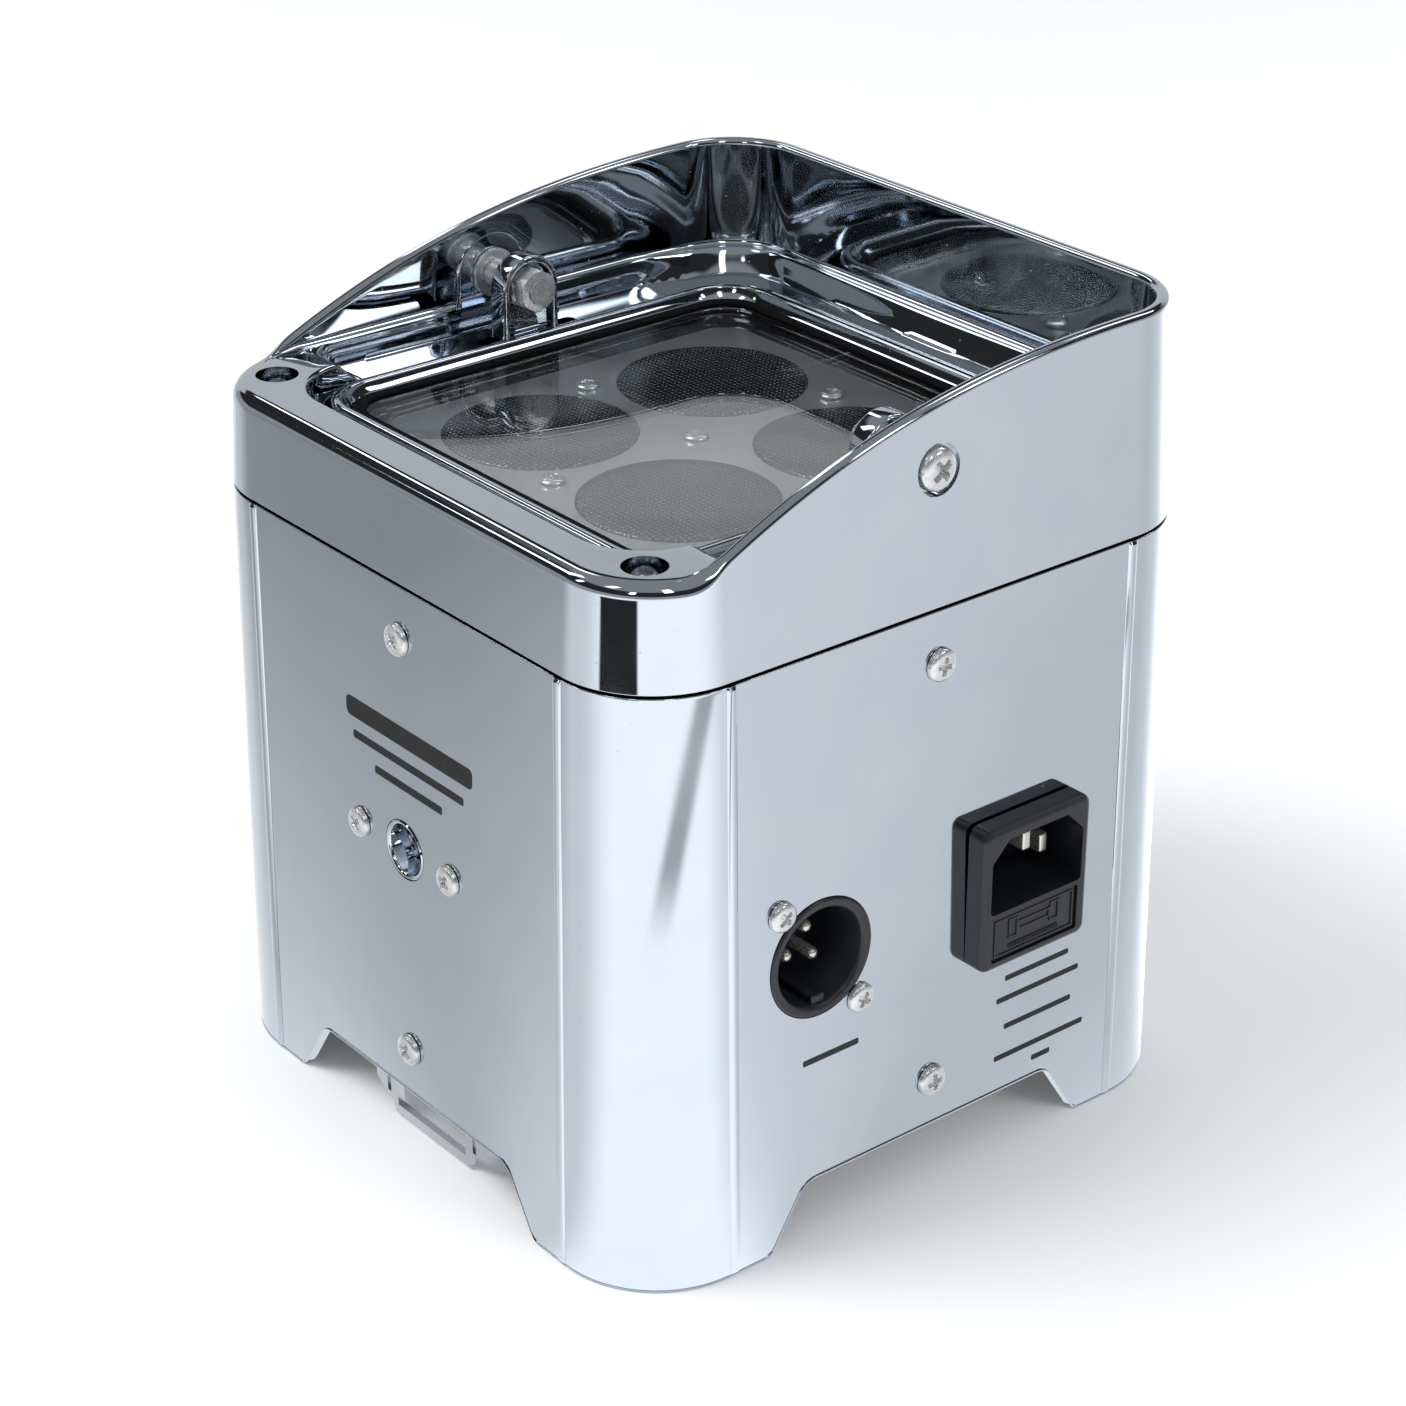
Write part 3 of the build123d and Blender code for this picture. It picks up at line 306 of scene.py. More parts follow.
edge = 0.5
for a in np.linspace(0, math.pi / 2, 5):
    case_row(foot_z + edge * (1 - math.sin(a)), 0.0, edge * (1 - math.cos(a)), 0.0)
case_row(foot_z + 1.4, 0.0, 0.0, 1.0)
for part in np.linspace(0.1, 0.9, 6):
    case_row(foot_z * (1 - part) + case_top * part, 0.0, 0.0, 1.0)
case_row(np.full_like(foot_z, case_top - 0.7), 0.0, 0.0, 1.0)
seam_edge = 0.2
for a in np.linspace(0, math.pi / 2, 5):
    fade = max(0.0, math.cos(a)) * 0.8
    case_row(case_top - seam_edge * (1 - math.cos(a)), 0.0, seam_edge * (1 - math.sin(a)), fade)
case_rows[-5:] = case_rows[-1:-6:-1]
case_row(case_top, CASE_WALL)
case_row(foot_z + 0.4, CASE_WALL)
case_row(foot_z, CASE_WALL - 0.4)
body = woven("case_body", np.stack(case_rows))

RIGHT, LEFT, FRONT, BACK = (1, 0, 0), (-1, 0, 0), (0, -1, 0), (0, 1, 0)


def on_side(normal, across_mm, z, out):
    """Origin, x direction and z direction of a plane on one side; across_mm is the world X or Y."""
    normal = np.array(normal, float)
    x_dir = np.cross([0, 0, 1], normal)
    origin = normal * out + np.abs(x_dir) * across_mm + np.array([0, 0, z])
    return origin, x_dir, normal


SOCKET_Y, SOCKET_Z, SOCKET_R = -28.0, 61.0, 12.2
INLET_Y, INLET_Z = 21.8, 60.4
ANCHOR_Z, ANCHOR_R = 67.6, 6.2
PANEL_Z, ROCKER_Z = 80.0, 38.0
body = cut(body, [
    prism("hole", circle(SOCKET_R), on_side(RIGHT, SOCKET_Y, SOCKET_Z, 64), 12),
    prism("hole", circle(SOCKET_R), on_side(LEFT, SOCKET_Y, SOCKET_Z, 64), 12),
    prism("hole", oblong(24.2, 27.0, 1.5), on_side(RIGHT, INLET_Y, INLET_Z, 64), 12),
    prism("hole", circle(ANCHOR_R), on_side(FRONT, 0, ANCHOR_Z, 64), 12),
    prism("hole", oblong(60.0, 36.0, 2.0), on_side(BACK, 0, PANEL_Z, 64), 12),
    prism("hole", oblong(19.0, 13.0, 0.5), on_side(BACK, 0, ROCKER_Z, 64), 12),
])
smooth(body)
wear(body, chrome, "body_shell")

# ---------------------------------------------------------------- hood and visor
# The upper moulding: a flat ledge in front that sweeps up into a visor round the lamp head, and a sunk
# tray round the head's opening. It drops into the body and is plated like it.
HOOD_Z = SEAM_Z + 0.3
LEDGE_Z, TRAY_Z, HOOD_TOP = 143.0, 138.0, 166.1
HOOD_LEAN = math.tan(math.radians(3.0))
PIVOT_Y, PIVOT_Z = -0.5, 149.2

BEND_Y, BEND_R, BEND_DEG = -57.0, 14.0, 26
slant = math.radians(BEND_DEG)
turn_end = np.array([BEND_Y + BEND_R * math.sin(slant), LEDGE_Z + BEND_R * (1 - math.cos(slant))])
pull = turn_end + 25.0 * np.array([math.cos(slant), math.sin(slant)])
t = np.linspace(0, 1, 80)[:, None]
rise = (
    (1 - t) ** 3 * turn_end
    + 3 * (1 - t) ** 2 * t * pull
    + 3 * (1 - t) * t**2 * np.array([0.0, HOOD_TOP])
    + t**3 * np.array([50.0, HOOD_TOP])
)
bend = np.radians(np.linspace(0, BEND_DEG, 14))[:-1]
upturn = np.stack([BEND_Y + BEND_R * np.sin(bend), LEDGE_Z + BEND_R * (1 - np.cos(bend))], -1)
sweep = np.concatenate([upturn, rise])


def visor_top(y):
    """Height of the visor's edge: the ledge, a short upward bend, then a curve that levels out."""
    return np.interp(y, sweep[:, 0], sweep[:, 1])


def ease(x):
    """Smooth step from 0 to 1: x * x * (3 - 2 * x) between 0 and 1."""
    x = np.clip(x, 0, 1)
    return x * x * (3 - 2 * x)


hood_x = np.linspace(0, 1, 40)
hood_y = np.linspace(0, 1, 110)
hood_turn = 40


def hood_loop(half_x, y_low, y_high, r):
    return square_loop(half_x, y_low, y_high, r, hood_x, hood_y, hood_turn)


hood_middle = hood_loop(CORNER_AT, -CORNER_AT, CORNER_AT, 1e-9)
hood_out = hood_loop(CORNER_AT + 1, -CORNER_AT - 1, CORNER_AT + 1, 1.0) - hood_middle
corner_reach = 20.2
edge_y = (hood_middle + hood_out * (corner_reach - 1.0))[:, 1]
crest = visor_top(edge_y)
above = crest - LEDGE_Z
rim_r = 3.0 - 1.7 * ease(above / 3.0)
rim_w = np.maximum(2.8, rim_r)
inner_r = np.minimum(1.2, above * 0.45)
rear = ease((edge_y - 35.0) / 20.0)


def outer_reach(z):
    """How far the hood's outside stands beyond the corner centres at height z."""
    return corner_reach - (z - HOOD_Z) * HOOD_LEAN


crest_reach = outer_reach(crest)
inner_top = crest_reach - rim_w
lifted = ease(above / 4.0)
foot_reach = inner_top + (16.9 - 1.6 * rear - inner_top) * lifted
foot_r = np.minimum(1.2, above * 0.4)
hood_rows = []


def hood_row(reach, z, middle=None):
    """One loop of the hood: reach beyond the corner centres, or given points, at height z."""
    xy = hood_middle + hood_out * np.broadcast_to(reach, edge_y.shape)[:, None] if middle is None else middle
    hood_rows.append(np.concatenate([xy, np.broadcast_to(z, edge_y.shape)[:, None]], -1))


hood_row(17.0, HOOD_Z + 0.6)
hood_row(17.0, HOOD_Z)
for a in np.linspace(0, math.pi / 2, 4):
    hood_row(corner_reach - seam_edge * (1 - math.sin(a)), HOOD_Z + seam_edge * (1 - math.cos(a)))
for part in np.linspace(0, 1, 7)[1:]:
    z = (HOOD_Z + seam_edge) * (1 - part) + (crest - rim_r) * part
    hood_row(outer_reach(z), z)
rim_base = outer_reach(crest - rim_r)
for a in np.linspace(0, math.pi / 2, 10)[1:]:
    hood_row(rim_base - rim_r * (1 - math.cos(a)), crest - rim_r + rim_r * math.sin(a))
for a in np.linspace(0, math.pi / 2, 6):
    hood_row(inner_top + inner_r * (1 - math.sin(a)), crest - inner_r * (1 - math.cos(a)))
wall_foot = LEDGE_Z + foot_r
for part in np.linspace(0, 1, 8)[1:-1]:
    # The rear wall leans out a little towards its foot.
    hood_row(inner_top + (foot_reach - inner_top) * part, (crest - inner_r) * (1 - part) + wall_foot * part)
for a in np.linspace(0, math.pi / 2, 6):
    hood_row(foot_reach - foot_r * (1 - math.cos(a)), wall_foot - foot_r * math.sin(a))

step_loop = hood_loop(54.8, -58.6, 56.4, 14.0)
step_out = hood_loop(55.8, -59.6, 57.4, 15.0) - step_loop
start = hood_rows[-1][:, :2]
span = np.hypot(*(step_loop - start).T)
ramp_end = 1.1 + 3.4 * rear


def ground(xy, gone):
    """Height of the hood's upper surface: the ledge, less a 5 mm drop that eases in behind the front
    strip and away from the walls, where gone is the distance from the wall's foot."""
    return LEDGE_Z - (LEDGE_Z - TRAY_Z) * ease((xy[:, 1] + 46.5) / 7.5) * ease((gone - 0.15) / ramp_end)


for part in (0.02, 0.04, 0.06, 0.08, 0.1, 0.12, 0.15, 0.2, 0.26, 0.33, 0.42, 0.52, 0.64, 0.76, 0.88):
    xy = start * (1 - part) + (step_loop + step_out * 0.8) * part
    hood_row(0, ground(xy, span * part), xy)
last_ground = ground(step_loop + step_out * 0.8, span)
step_r = np.minimum(0.8, last_ground - TRAY_Z)
for a in np.linspace(0, math.pi / 2, 6):
    hood_row(0, last_ground - step_r * (1 - math.cos(a)), step_loop + step_out * 0.8 * (1 - math.sin(a)))
hood_row(0, TRAY_Z, step_loop - step_out * 0.1)
mouth = hood_loop(54.2, -54.4, 55.8, 11.4)
mouth_out = hood_loop(55.2, -55.4, 56.8, 12.4) - mouth
for a in np.linspace(0, math.pi / 2, 4):
    hood_row(0, TRAY_Z - 0.5 * (1 - math.cos(a)), mouth + mouth_out * 0.5 * (1 - math.sin(a)))
hood_row(0, TRAY_Z - 3.0, mouth)
hood_row(15.4, TRAY_Z - 3.0)
hood_row(15.4, 117.0)
hood_row(17.0, 117.0)
hood = woven("hood", np.stack(hood_rows))

WELL_AT, WELL_R = 57.5, 4.2
UP = (0, 0, 1)


def well(x):
    """The sunk hole for a hood screw."""
    return prism("hole", circle(WELL_R, 48), ((x, -WELL_AT, LEDGE_Z - 6.5), (1, 0, 0), UP), 12)


notch = oblong(2 * 59.0, 23.7, 1.5)
notch[:, 1] += 2.15
head_seat_x = outer_reach(PIVOT_Z) + CORNER_AT
hood = cut(hood, [
    well(-WELL_AT),
    well(WELL_AT),
    prism("hole", notch, ((0, 0, 130), (1, 0, 0), UP), 8.6),
    prism("hole", circle(5.0), on_side(RIGHT, PIVOT_Y, PIVOT_Z, head_seat_x - 1.4), 8),
    prism("hole", circle(5.0), on_side(LEFT, PIVOT_Y, PIVOT_Z, head_seat_x - 1.4), 8),
])
smooth(hood)
wear(hood, chrome, "top_hood")

# ---------------------------------------------------------------- pivot pads
# Arched pads moulded on the visor's inner walls, where the lamp head's two pivot bolts pass through.
# They are plated with the hood.
PAD_X, PAD_R = 65.4, 8.5


def arch_line(r, foot, n=36):
    """An arch in its own x and y: a half circle over the origin on two legs that stand at y = foot."""
    a = np.linspace(0, math.pi, n)
    top = np.stack([r * np.cos(a), r * np.sin(a)], -1)
    down = np.linspace(0, 1, 9)[1:, None]
    left = top[-1] * (1 - down) + np.array([-r, foot]) * down
    base = np.array([-r, foot]) * (1 - down) + np.array([r, foot]) * down
    up_leg = (np.array([r, foot]) * (1 - down) + top[0] * down)[:-1]
    return np.concatenate([top, left, base, up_leg])


def placed(outline, depth, place):
    """Lays an outline in a plane, lifted by depth along the plane's own z."""
    origin, x_dir, z_dir = (np.array(v, float) for v in place)
    y_dir = np.cross(z_dir, x_dir)
    outline = np.asarray(outline, float)
    return origin + outline[:, :1] * x_dir + outline[:, 1:] * y_dir + z_dir * depth


def plump(name, line, depths, place, edge=0.5, turns=4):
    """A plate with rounded edges: line(inset) gives its outline, depths its back and its face. The face
    closes on a middle point, and each edge is a quarter circle of radius edge."""
    back_z, face_z = depths
    rows = [placed(line(edge) * 1e-4, back_z, place)]
    for a in np.linspace(0, math.pi / 2, turns + 1):
        rows.append(placed(line(edge * (1 - math.sin(a))), back_z + edge * (1 - math.cos(a)), place))
    for a in np.linspace(0, math.pi / 2, turns + 1):
        rows.append(placed(line(edge * (1 - math.cos(a))), face_z - edge * (1 - math.sin(a)), place))
    rows.append(placed(line(edge) * 1e-4, face_z, place))
    return woven(name, np.stack(rows), close_rows=False)


def join(name, pieces):
    """Joins finished meshes into one object, and removes the separate ones."""
    work = bmesh.new()
    for piece in pieces:
        work.from_mesh(piece.data)
        bpy.data.objects.remove(piece)
    mesh = bpy.data.meshes.new(name)
    work.to_mesh(mesh)
    work.free()
    whole = bpy.data.objects.new(name, mesh)
    bpy.context.scene.collection.objects.link(whole)
    return whole


def inward(side):
    """The direction into the case from one side."""
    return tuple(-c for c in side)


sides = (RIGHT, LEFT)
pads = [
    plump("pad", lambda inset: arch_line(PAD_R - inset, TRAY_Z + 0.6 - PIVOT_Z), (-2.0, 0.0),
          on_side(inward(side), PIVOT_Y, PIVOT_Z, -PAD_X), 0.8)
    for side in sides
]
pads = smooth(join("pivot_pads", pads))
wear(pads, chrome, None)

# ---------------------------------------------------------------- lamp head ring
# The plated ring that frames the head's glass, with a pocketed lug at each side for the pivot bolt.
# One moulding, plated like the case; it tilts with the head.
RING_HALF, RING_TOP, RING_LOW, MOUTH_HALF = 53.6, 139.6, 134.0, 50.0
ring_side = np.linspace(0, 1, 30)


def ring_loop(half, r):
    return square_loop(half, -half, half, r, ring_side, ring_side, 24)


def ring_row(half, r, z):
    """One square loop at height z."""
    loop = ring_loop(half, r)
    return np.concatenate([loop, np.full((len(loop), 1), z)], -1)


def ring_solid(name, sections):
    """A square ring: each section gives half the side, the corner radius and the height of one loop."""
    return woven(name, np.stack([ring_row(half, r, z) for half, r, z in sections]))


rim = [(RING_HALF, 12.0, RING_LOW)]
for a in np.linspace(0, math.pi / 2, 7):
    gone = 1.1 * (1 - math.cos(a))
    rim.append((RING_HALF - gone, 12.0 - gone, RING_TOP - 1.1 + 1.1 * math.sin(a)))
for a in np.linspace(0, math.pi / 2, 6):
    rim.append((51.75 - 0.5 * math.sin(a), 10.4 - 0.5 * math.sin(a), RING_TOP - 0.5 * (1 - math.cos(a))))
rim += [(50.25, 9.2, 137.55), (MOUTH_HALF, 9.0, 137.3), (MOUTH_HALF, 9.0, 137.05)]
rim += [(51.5, 10.0, 137.05), (51.5, 10.0, RING_LOW)]
rim = ring_solid("rim", rim)

LUG_IN, LUG_OUT, LUG_R = 52.0, 57.0, 6.7


def lug(side):
    """A lug: an arch with rounded edges, whose inner face is sunk inside a narrow rim."""
    place = on_side(side, PIVOT_Y, PIVOT_Z, 0)
    line = lambda inset: arch_line(LUG_R - inset, 137.0 - PIVOT_Z)
    rows = [placed(line(0.7) * 1e-4, LUG_OUT, place)]
    for a in np.linspace(0, math.pi / 2, 5):
        rows.append(placed(line(0.7 * (1 - math.sin(a))), LUG_OUT - 0.7 * (1 - math.cos(a)), place))
    for a in np.linspace(0, math.pi / 2, 5):
        rows.append(placed(line(0.5 * (1 - math.cos(a))), LUG_IN + 0.5 * (1 - math.sin(a)), place))
    for a in np.linspace(0, math.pi / 2, 4):
        rows.append(placed(line(1.1 + 0.4 * math.sin(a)), LUG_IN + 0.4 * (1 - math.cos(a)), place))
    rows.append(placed(line(1.7), LUG_IN + 1.9, place))
    rows.append(placed(line(1.9), LUG_IN + 2.0, place))
    rows.append(placed(line(1.9) * 1e-4, LUG_IN + 2.0, place))
    return woven("lug", np.stack(rows), close_rows=False)


ring = smooth(join("lamp_head_ring", [rim, lug(RIGHT), lug(LEFT)]), weighted=False)
wear(ring, chrome, "head_bezel", "lamp_head")

# ---------------------------------------------------------------- glass and its seal
# A sheet of clear toughened glass with ground edges, dropped into the ring from below, and the black
# rubber seal whose inner edge shows as a stripe round the opening.
glass, glass_shader, place = material("clear_toughened_glass")
smear = noise(glass, place, 22, 4.0)
clean = {"Base Color": linear("#f2f6f6"), "IOR": 1.52, "Transmission Weight": 1.0}
set_shader(glass_shader, clean, {"Roughness": remap(glass, smear, 0.0, 0.012, 0.5, 0.85)}, glass)
GLASS_LOW, GLASS_TOP = 134.6, 137.0


def sheet_solid(name, half, r, low, high, edge):
    """A flat square sheet with rounded corners and a ground edge, closed on its middle."""
    sections = [(half * 1e-4, r * 1e-4, low), (half - edge, r, low), (half, r, low + edge)]
    sections += [(half, r, high - edge), (half - edge, r, high), (half * 1e-4, r * 1e-4, high)]
    return woven(name, np.stack([ring_row(*section) for section in sections]), close_rows=False)


pane = smooth(sheet_solid("head_glass_pane", 51.3, 9.8, GLASS_LOW, GLASS_TOP, 0.4))
wear(pane, glass, "head_glass", "lamp_head")

# Matt black rubber: almost no gloss, with a fine moulded grit.
rubber, rubber_shader, place = material("black_epdm_rubber")
grit = noise(rubber, place, 0.9, 2.0)
set_shader(
    rubber_shader,
    {"Base Color": linear("#060607"), "Specular IOR Level": 0.12},
    {"Roughness": remap(rubber, grit, 0.62, 0.82), "Normal": bump(rubber, grit, 0.25, 0.08)},
    rubber,
)
seal = [(51.2, 9.8, GLASS_TOP - 0.06), (51.2, 9.8, GLASS_TOP + 0.04), (50.0, 9.0, GLASS_TOP + 0.04)]
seal += [(49.8, 8.9, GLASS_TOP + 0.5), (47.9, 7.9, GLASS_TOP + 0.52), (47.5, 7.6, GLASS_TOP + 0.4)]
seal += [(47.4, 7.5, GLASS_TOP - 0.06)]
seal = smooth(ring_solid("glass_seal", seal))
wear(seal, rubber, "glass_gasket", "lamp_head")

# ---------------------------------------------------------------- shade frame
# A gloss black moulding that steps down from the glass to the lens plate, and hides the head's inside.
# Gloss black plastic: a clear shine over a slight waviness.
gloss, gloss_shader, place = material("gloss_black_abs")
wave = noise(gloss, place, 9, 3.0)
set_shader(
    gloss_shader,
    {"Base Color": linear("#070709"), "Specular IOR Level": 0.45, "Coat Weight": 0.3, "Coat Roughness": 0.05},
    {"Roughness": remap(gloss, wave, 0.12, 0.24), "Normal": bump(gloss, wave, 0.08, 0.2)},
    gloss,
)
steps = [(49.6, 9.0, 131.62), (49.6, 9.0, 134.4), (49.1, 8.7, 134.5), (48.5, 8.3, 134.4), (48.2, 8.1, 133.7)]
steps += [(47.3, 7.7, 133.3), (46.9, 7.6, 133.25), (46.6, 7.5, 132.6), (45.8, 7.2, 132.1), (45.3, 7.0, 132.05)]
steps += [(45.0, 7.0, 131.62)]
shade = smooth(ring_solid("shade_frame_steps", steps), 50, weighted=False)
wear(shade, gloss, "shade_frame", "lamp_head")

# ---------------------------------------------------------------- lens plate
# Satin anodised sheet aluminium with a punched hole round each lens.
# Satin anodising: a pale, soft metal sheen with a fine grain.
plate_finish, plate_shader, place = material("satin_anodised_aluminium")
mottle = noise(plate_finish, place, 14, 4.0)
grain = noise(plate_finish, place, 0.7, 2.0)
satin = {"data_type": "RGBA", "A": linear("#c6c6ca"), "B": linear("#d4d4d8")}
tint = add(plate_finish, "Mix", satin, {"Factor": mottle})
set_shader(
    plate_shader,
    {"Metallic": 0.62},
    {
        "Base Color": tint.outputs["Result"],
        "Roughness": remap(plate_finish, grain, 0.16, 0.26),
        "Normal": bump(plate_finish, grain, 0.12, 0.05),
    },
    plate_finish,
)
cad["lens_plate"].data.materials.clear()
cad["lens_plate"].data.materials.append(plate_finish)

# ---------------------------------------------------------------- lenses
# Four moulded acrylic collimators. The flat front is covered in rows of tiny domes about a millimetre
# apart, and the silvery cone under it gathers the light of one emitter.
PLATE_TOP, LENS_PITCH = 131.6, 21.3
lens_spots = [(x * LENS_PITCH, y * LENS_PITCH) for x in (-1, 1) for y in (-1, 1)]


def lathe(profile, n=64, swell=None):
    """A profile of (radius, height) points turned about the z axis, as a grid of points."""
    a = np.arange(n) * 2 * math.pi / n
    profile = np.asarray(profile, float)
    r = np.maximum(profile[:, :1], 1e-5) * np.ones_like(a)
    z = profile[:, 1:] * np.ones_like(a)
    if swell is not None:
        r = swell(r, z, a)
    return np.stack([r * np.cos(a), r * np.sin(a), z], -1)


def seat(grid, place):
    """Turns and moves a grid made about the z axis on to a plane."""
    origin, x_dir, z_dir = (np.array(v, float) for v in place)
    y_dir = np.cross(z_dir, x_dir)
    return origin + grid[..., :1] * x_dir + grid[..., 1:2] * y_dir + grid[..., 2:] * z_dir


def many(name, grids, close_rows=False):
    """Several grids as one piece."""
    return join(name, [woven("part", grid, close_rows) for grid in grids])


def upright(x, y, z):
    """A level plane through a point, facing up."""
    return (x, y, z), (1, 0, 0), UP


# Clear moulded acrylic: see-through and glossy, broken up by its domes.
acrylic, acrylic_shader, place = material("moulded_acrylic")
# One dome each 1.1 mm in square rows: the height falls off from each cell's centre.
cells = add(acrylic, "Mapping", {"Scale": (1.0, 1.0, 0.0)}, {"Vector": place}).outputs[0]
square_cells = {"voronoi_dimensions": "2D", "Scale": 900.0, "Randomness": 0.0}
cells = add(acrylic, "TexVoronoi", square_cells, {"Vector": cells})
dome = remap(acrylic, cells.outputs["Distance"], 1.0, 0.0, 0.0, 0.6)
peak = remap(acrylic, cells.outputs["Distance"], 1.0, 0.0, 0.1, 0.36)
# Each dome's centre is painted pale and its edge dark: a painted glint on every dome, laid over the domes' own
# relief.
pale = add(
    acrylic, "Mix", {"data_type": "RGBA", "A": linear("#2e3135"), "B": linear("#d9dee3")}, {"Factor": peak}
)
set_shader(
    acrylic_shader,
    {"IOR": 1.49, "Transmission Weight": 0.8, "Coat Weight": 0.6, "Coat Roughness": 0.05},
    {
        "Base Color": pale.outputs["Result"],
        "Roughness": remap(acrylic, peak, 0.05, 0.12),
        "Normal": bump(acrylic, dome, 0.5, 0.25),
    },
    acrylic,
)
front_profile = [(0, 0.75), (10, 0.68), (16, 0.52), (18.2, 0.4), (18.8, 0.25), (19.0, 0.0)]
front_profile += [(19.0, -0.8), (0, -0.8)]
fronts = many("lens_fronts", [
    seat(lathe(front_profile), upright(x, y, PLATE_TOP + 0.05)) for x, y in lens_spots
])
smooth(fronts, 40, weighted=False)
wear(fronts, acrylic, "lenses", "lamp_head")

# The silvery cone is painted near black, as painted shade for the dark inside of each lens, with a metal sheen,
# mottled by its facets.
silver, silver_shader, place = material("metallised_collimator")
rings = add(silver, "Mapping", {"Scale": (1.0, 1.0, 0.0)}, {"Vector": place}).outputs[0]
facet = noise(silver, rings, 1.6, 2.0)
cone_shade_greys = {"data_type": "RGBA", "A": linear("#08090a"), "B": linear("#232528")}
painted_shade_cone = add(silver, "Mix", cone_shade_greys, {"Factor": facet})
set_shader(
    silver_shader,
    {"Metallic": 0.85, "Roughness": 0.34},
    {"Base Color": painted_shade_cone.outputs["Result"], "Normal": bump(silver, facet, 0.3, 0.2)},
    silver,
)
cone_profile = [(19.0, -0.85), (17.5, -3.0), (14.8, -5.6), (11.0, -7.8), (7.2, -9.2), (5.6, -9.6), (5.2, -9.0)]
cone_profile += [(4.8, -7.0), (3.6, -6.1), (2.0, -5.7), (0, -5.6)]
cones = many("lens_cones", [seat(lathe(cone_profile), upright(x, y, PLATE_TOP)) for x, y in lens_spots])
smooth(cones, 50, weighted=False)
cones.data.materials.append(silver)
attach(cones, "lamp_head")

# ---------------------------------------------------------------- screws
# Zinc-plated pan-head screws with a cross recess. They fix the hood, base, sockets and anchor to the
# body, and the lens plate to the head; two larger ones are the head's pivot bolts.
zinc, zinc_shader, place = material("bright_zinc_plate")
stain = noise(zinc, place, 3.0, 4.0)
scratch = noise(zinc, place, 0.5, 3.0, (1.0, 6.0, 1.0))
shine = add(
    zinc, "Mix", {"data_type": "RGBA", "A": linear("#bdbebf"), "B": linear("#dedfe0")}, {"Factor": stain}
)
set_shader(
    zinc_shader,
    {"Metallic": 0.72, "Specular IOR Level": 0.8},
    {
        "Base Color": shine.outputs["Result"],
        "Roughness": remap(zinc, scratch, 0.16, 0.34),
        "Normal": bump(zinc, scratch, 0.12, 0.05),
    },
    zinc,
)


def cross_head(r, h, shank, length):
    """A pan head with a cross recess: the dome is h * (1 - (s / r)**4)**0.5 high at radius s, and the
    recess sinks where the point lies within an arm's half width of either axis."""
    s = np.concatenate([np.linspace(0, 0.7, 22), np.linspace(0.7, 1, 9)[1:]]) * r
    top = h * (0.22 + 0.78 * np.sqrt(np.clip(1 - (s / r) ** 4, 0, 1)))
    grid = lathe(np.stack([s, top], -1), 96)
    x, y = np.abs(grid[..., 0]), np.abs(grid[..., 1])
    arm, end = 0.12 * r, 0.56 * r
    inside = lambda across, out: ease((arm + 0.05 * r - across) / (0.07 * r)) * ease((end - out) / (0.14 * r))
    sink = np.maximum(inside(x, y), inside(y, x))
    heart = ease((0.3 * r - np.hypot(x, y)) / (0.16 * r))
    grid[..., 2] -= h * 0.62 * np.maximum(sink, heart)
    under = lathe([(r, 0.02), (r * 0.97, 0.0), (shank, 0.0), (shank, -length), (0, -length)], 96)
    return np.concatenate([grid, under])


def screw_set(name, node, places, r, h, shank, length, body="housing"):
    """Screws of one size, each turned by its own angle, as one piece."""
    grids = []
    for count, (origin, x_dir, z_dir) in enumerate(places):
        turned = Matrix.Rotation(0.7 + 1.9 * count, 3, Vector(z_dir)) @ Vector(x_dir)
        grids.append(seat(cross_head(r, h, shank, length), (origin, tuple(turned), z_dir)))
    piece = smooth(many(name, grids), 38, weighted=False)
    return wear(piece, zinc, node, body)


UPPER_Z, LOWER_Z = 111.6, 23.5
case_places = [
    on_side(side, 0, z, float(case_half(z)) + 0.1)
    for side in (FRONT, RIGHT, BACK, LEFT) for z in (UPPER_Z, LOWER_Z)
]
screw_set("case_screw_heads", "case_screws", case_places, 3.3, 1.5, 1.4, 6.0)
well_places = [((x, -WELL_AT, LEDGE_Z - 6.5), (1, 0, 0), UP) for x in (-WELL_AT, WELL_AT)]
screw_set("hood_screw_heads", "hood_screws", well_places, 3.1, 1.9, 1.5, 6.0)
anchor_places = [on_side(FRONT, x, ANCHOR_Z, float(case_half(ANCHOR_Z)) + 0.1) for x in (-14.7, 14.7)]
screw_set("anchor_screw_heads", "anchor_screws", anchor_places, 3.1, 1.5, 1.3, 5.0)


def socket_places(side):
    sign = side[0]
    spots = ((-9.5 * sign, 12.0), (9.5 * sign, -12.0))
    if sign < 0:
        spots = ((9.5, 12.0), (-9.5, -12.0))
    return [
        on_side(side, SOCKET_Y + dy * sign, SOCKET_Z + dz, float(case_half(SOCKET_Z + dz)) + 0.1)
        for dy, dz in spots
    ]


screw_set("input_screw_heads", "input_screws", socket_places(RIGHT), 3.0, 1.5, 1.2, 5.0)
screw_set("output_screw_heads", "output_screws", socket_places(LEFT), 3.0, 1.5, 1.2, 5.0)
plate_spots = ((0, 0), (34.4, 0), (-34.4, 0), (0, 34.4), (0, -34.4))
plate_places = [((x, y, PLATE_TOP), (1, 0, 0), UP) for x, y in plate_spots]
screw_set("plate_screw_heads", "plate_screws", plate_places, 2.6, 1.2, 1.3, 8.0, "lamp_head")

# ---------------------------------------------------------------- tilt pivots
# Each pivot is a bolt from outside the visor, a spacer sleeve with a washer at each end, the head's lug,
# and a hexagon nut whose open end shows the bolt's tip.
bolt_places = [on_side(side, PIVOT_Y, PIVOT_Z, head_seat_x - 1.4) for side in sides]
screw_set("pivot_bolt_heads", "pivot_bolts", bolt_places, 4.3, 2.6, 2.5, head_seat_x - 1.4 - 48.7)


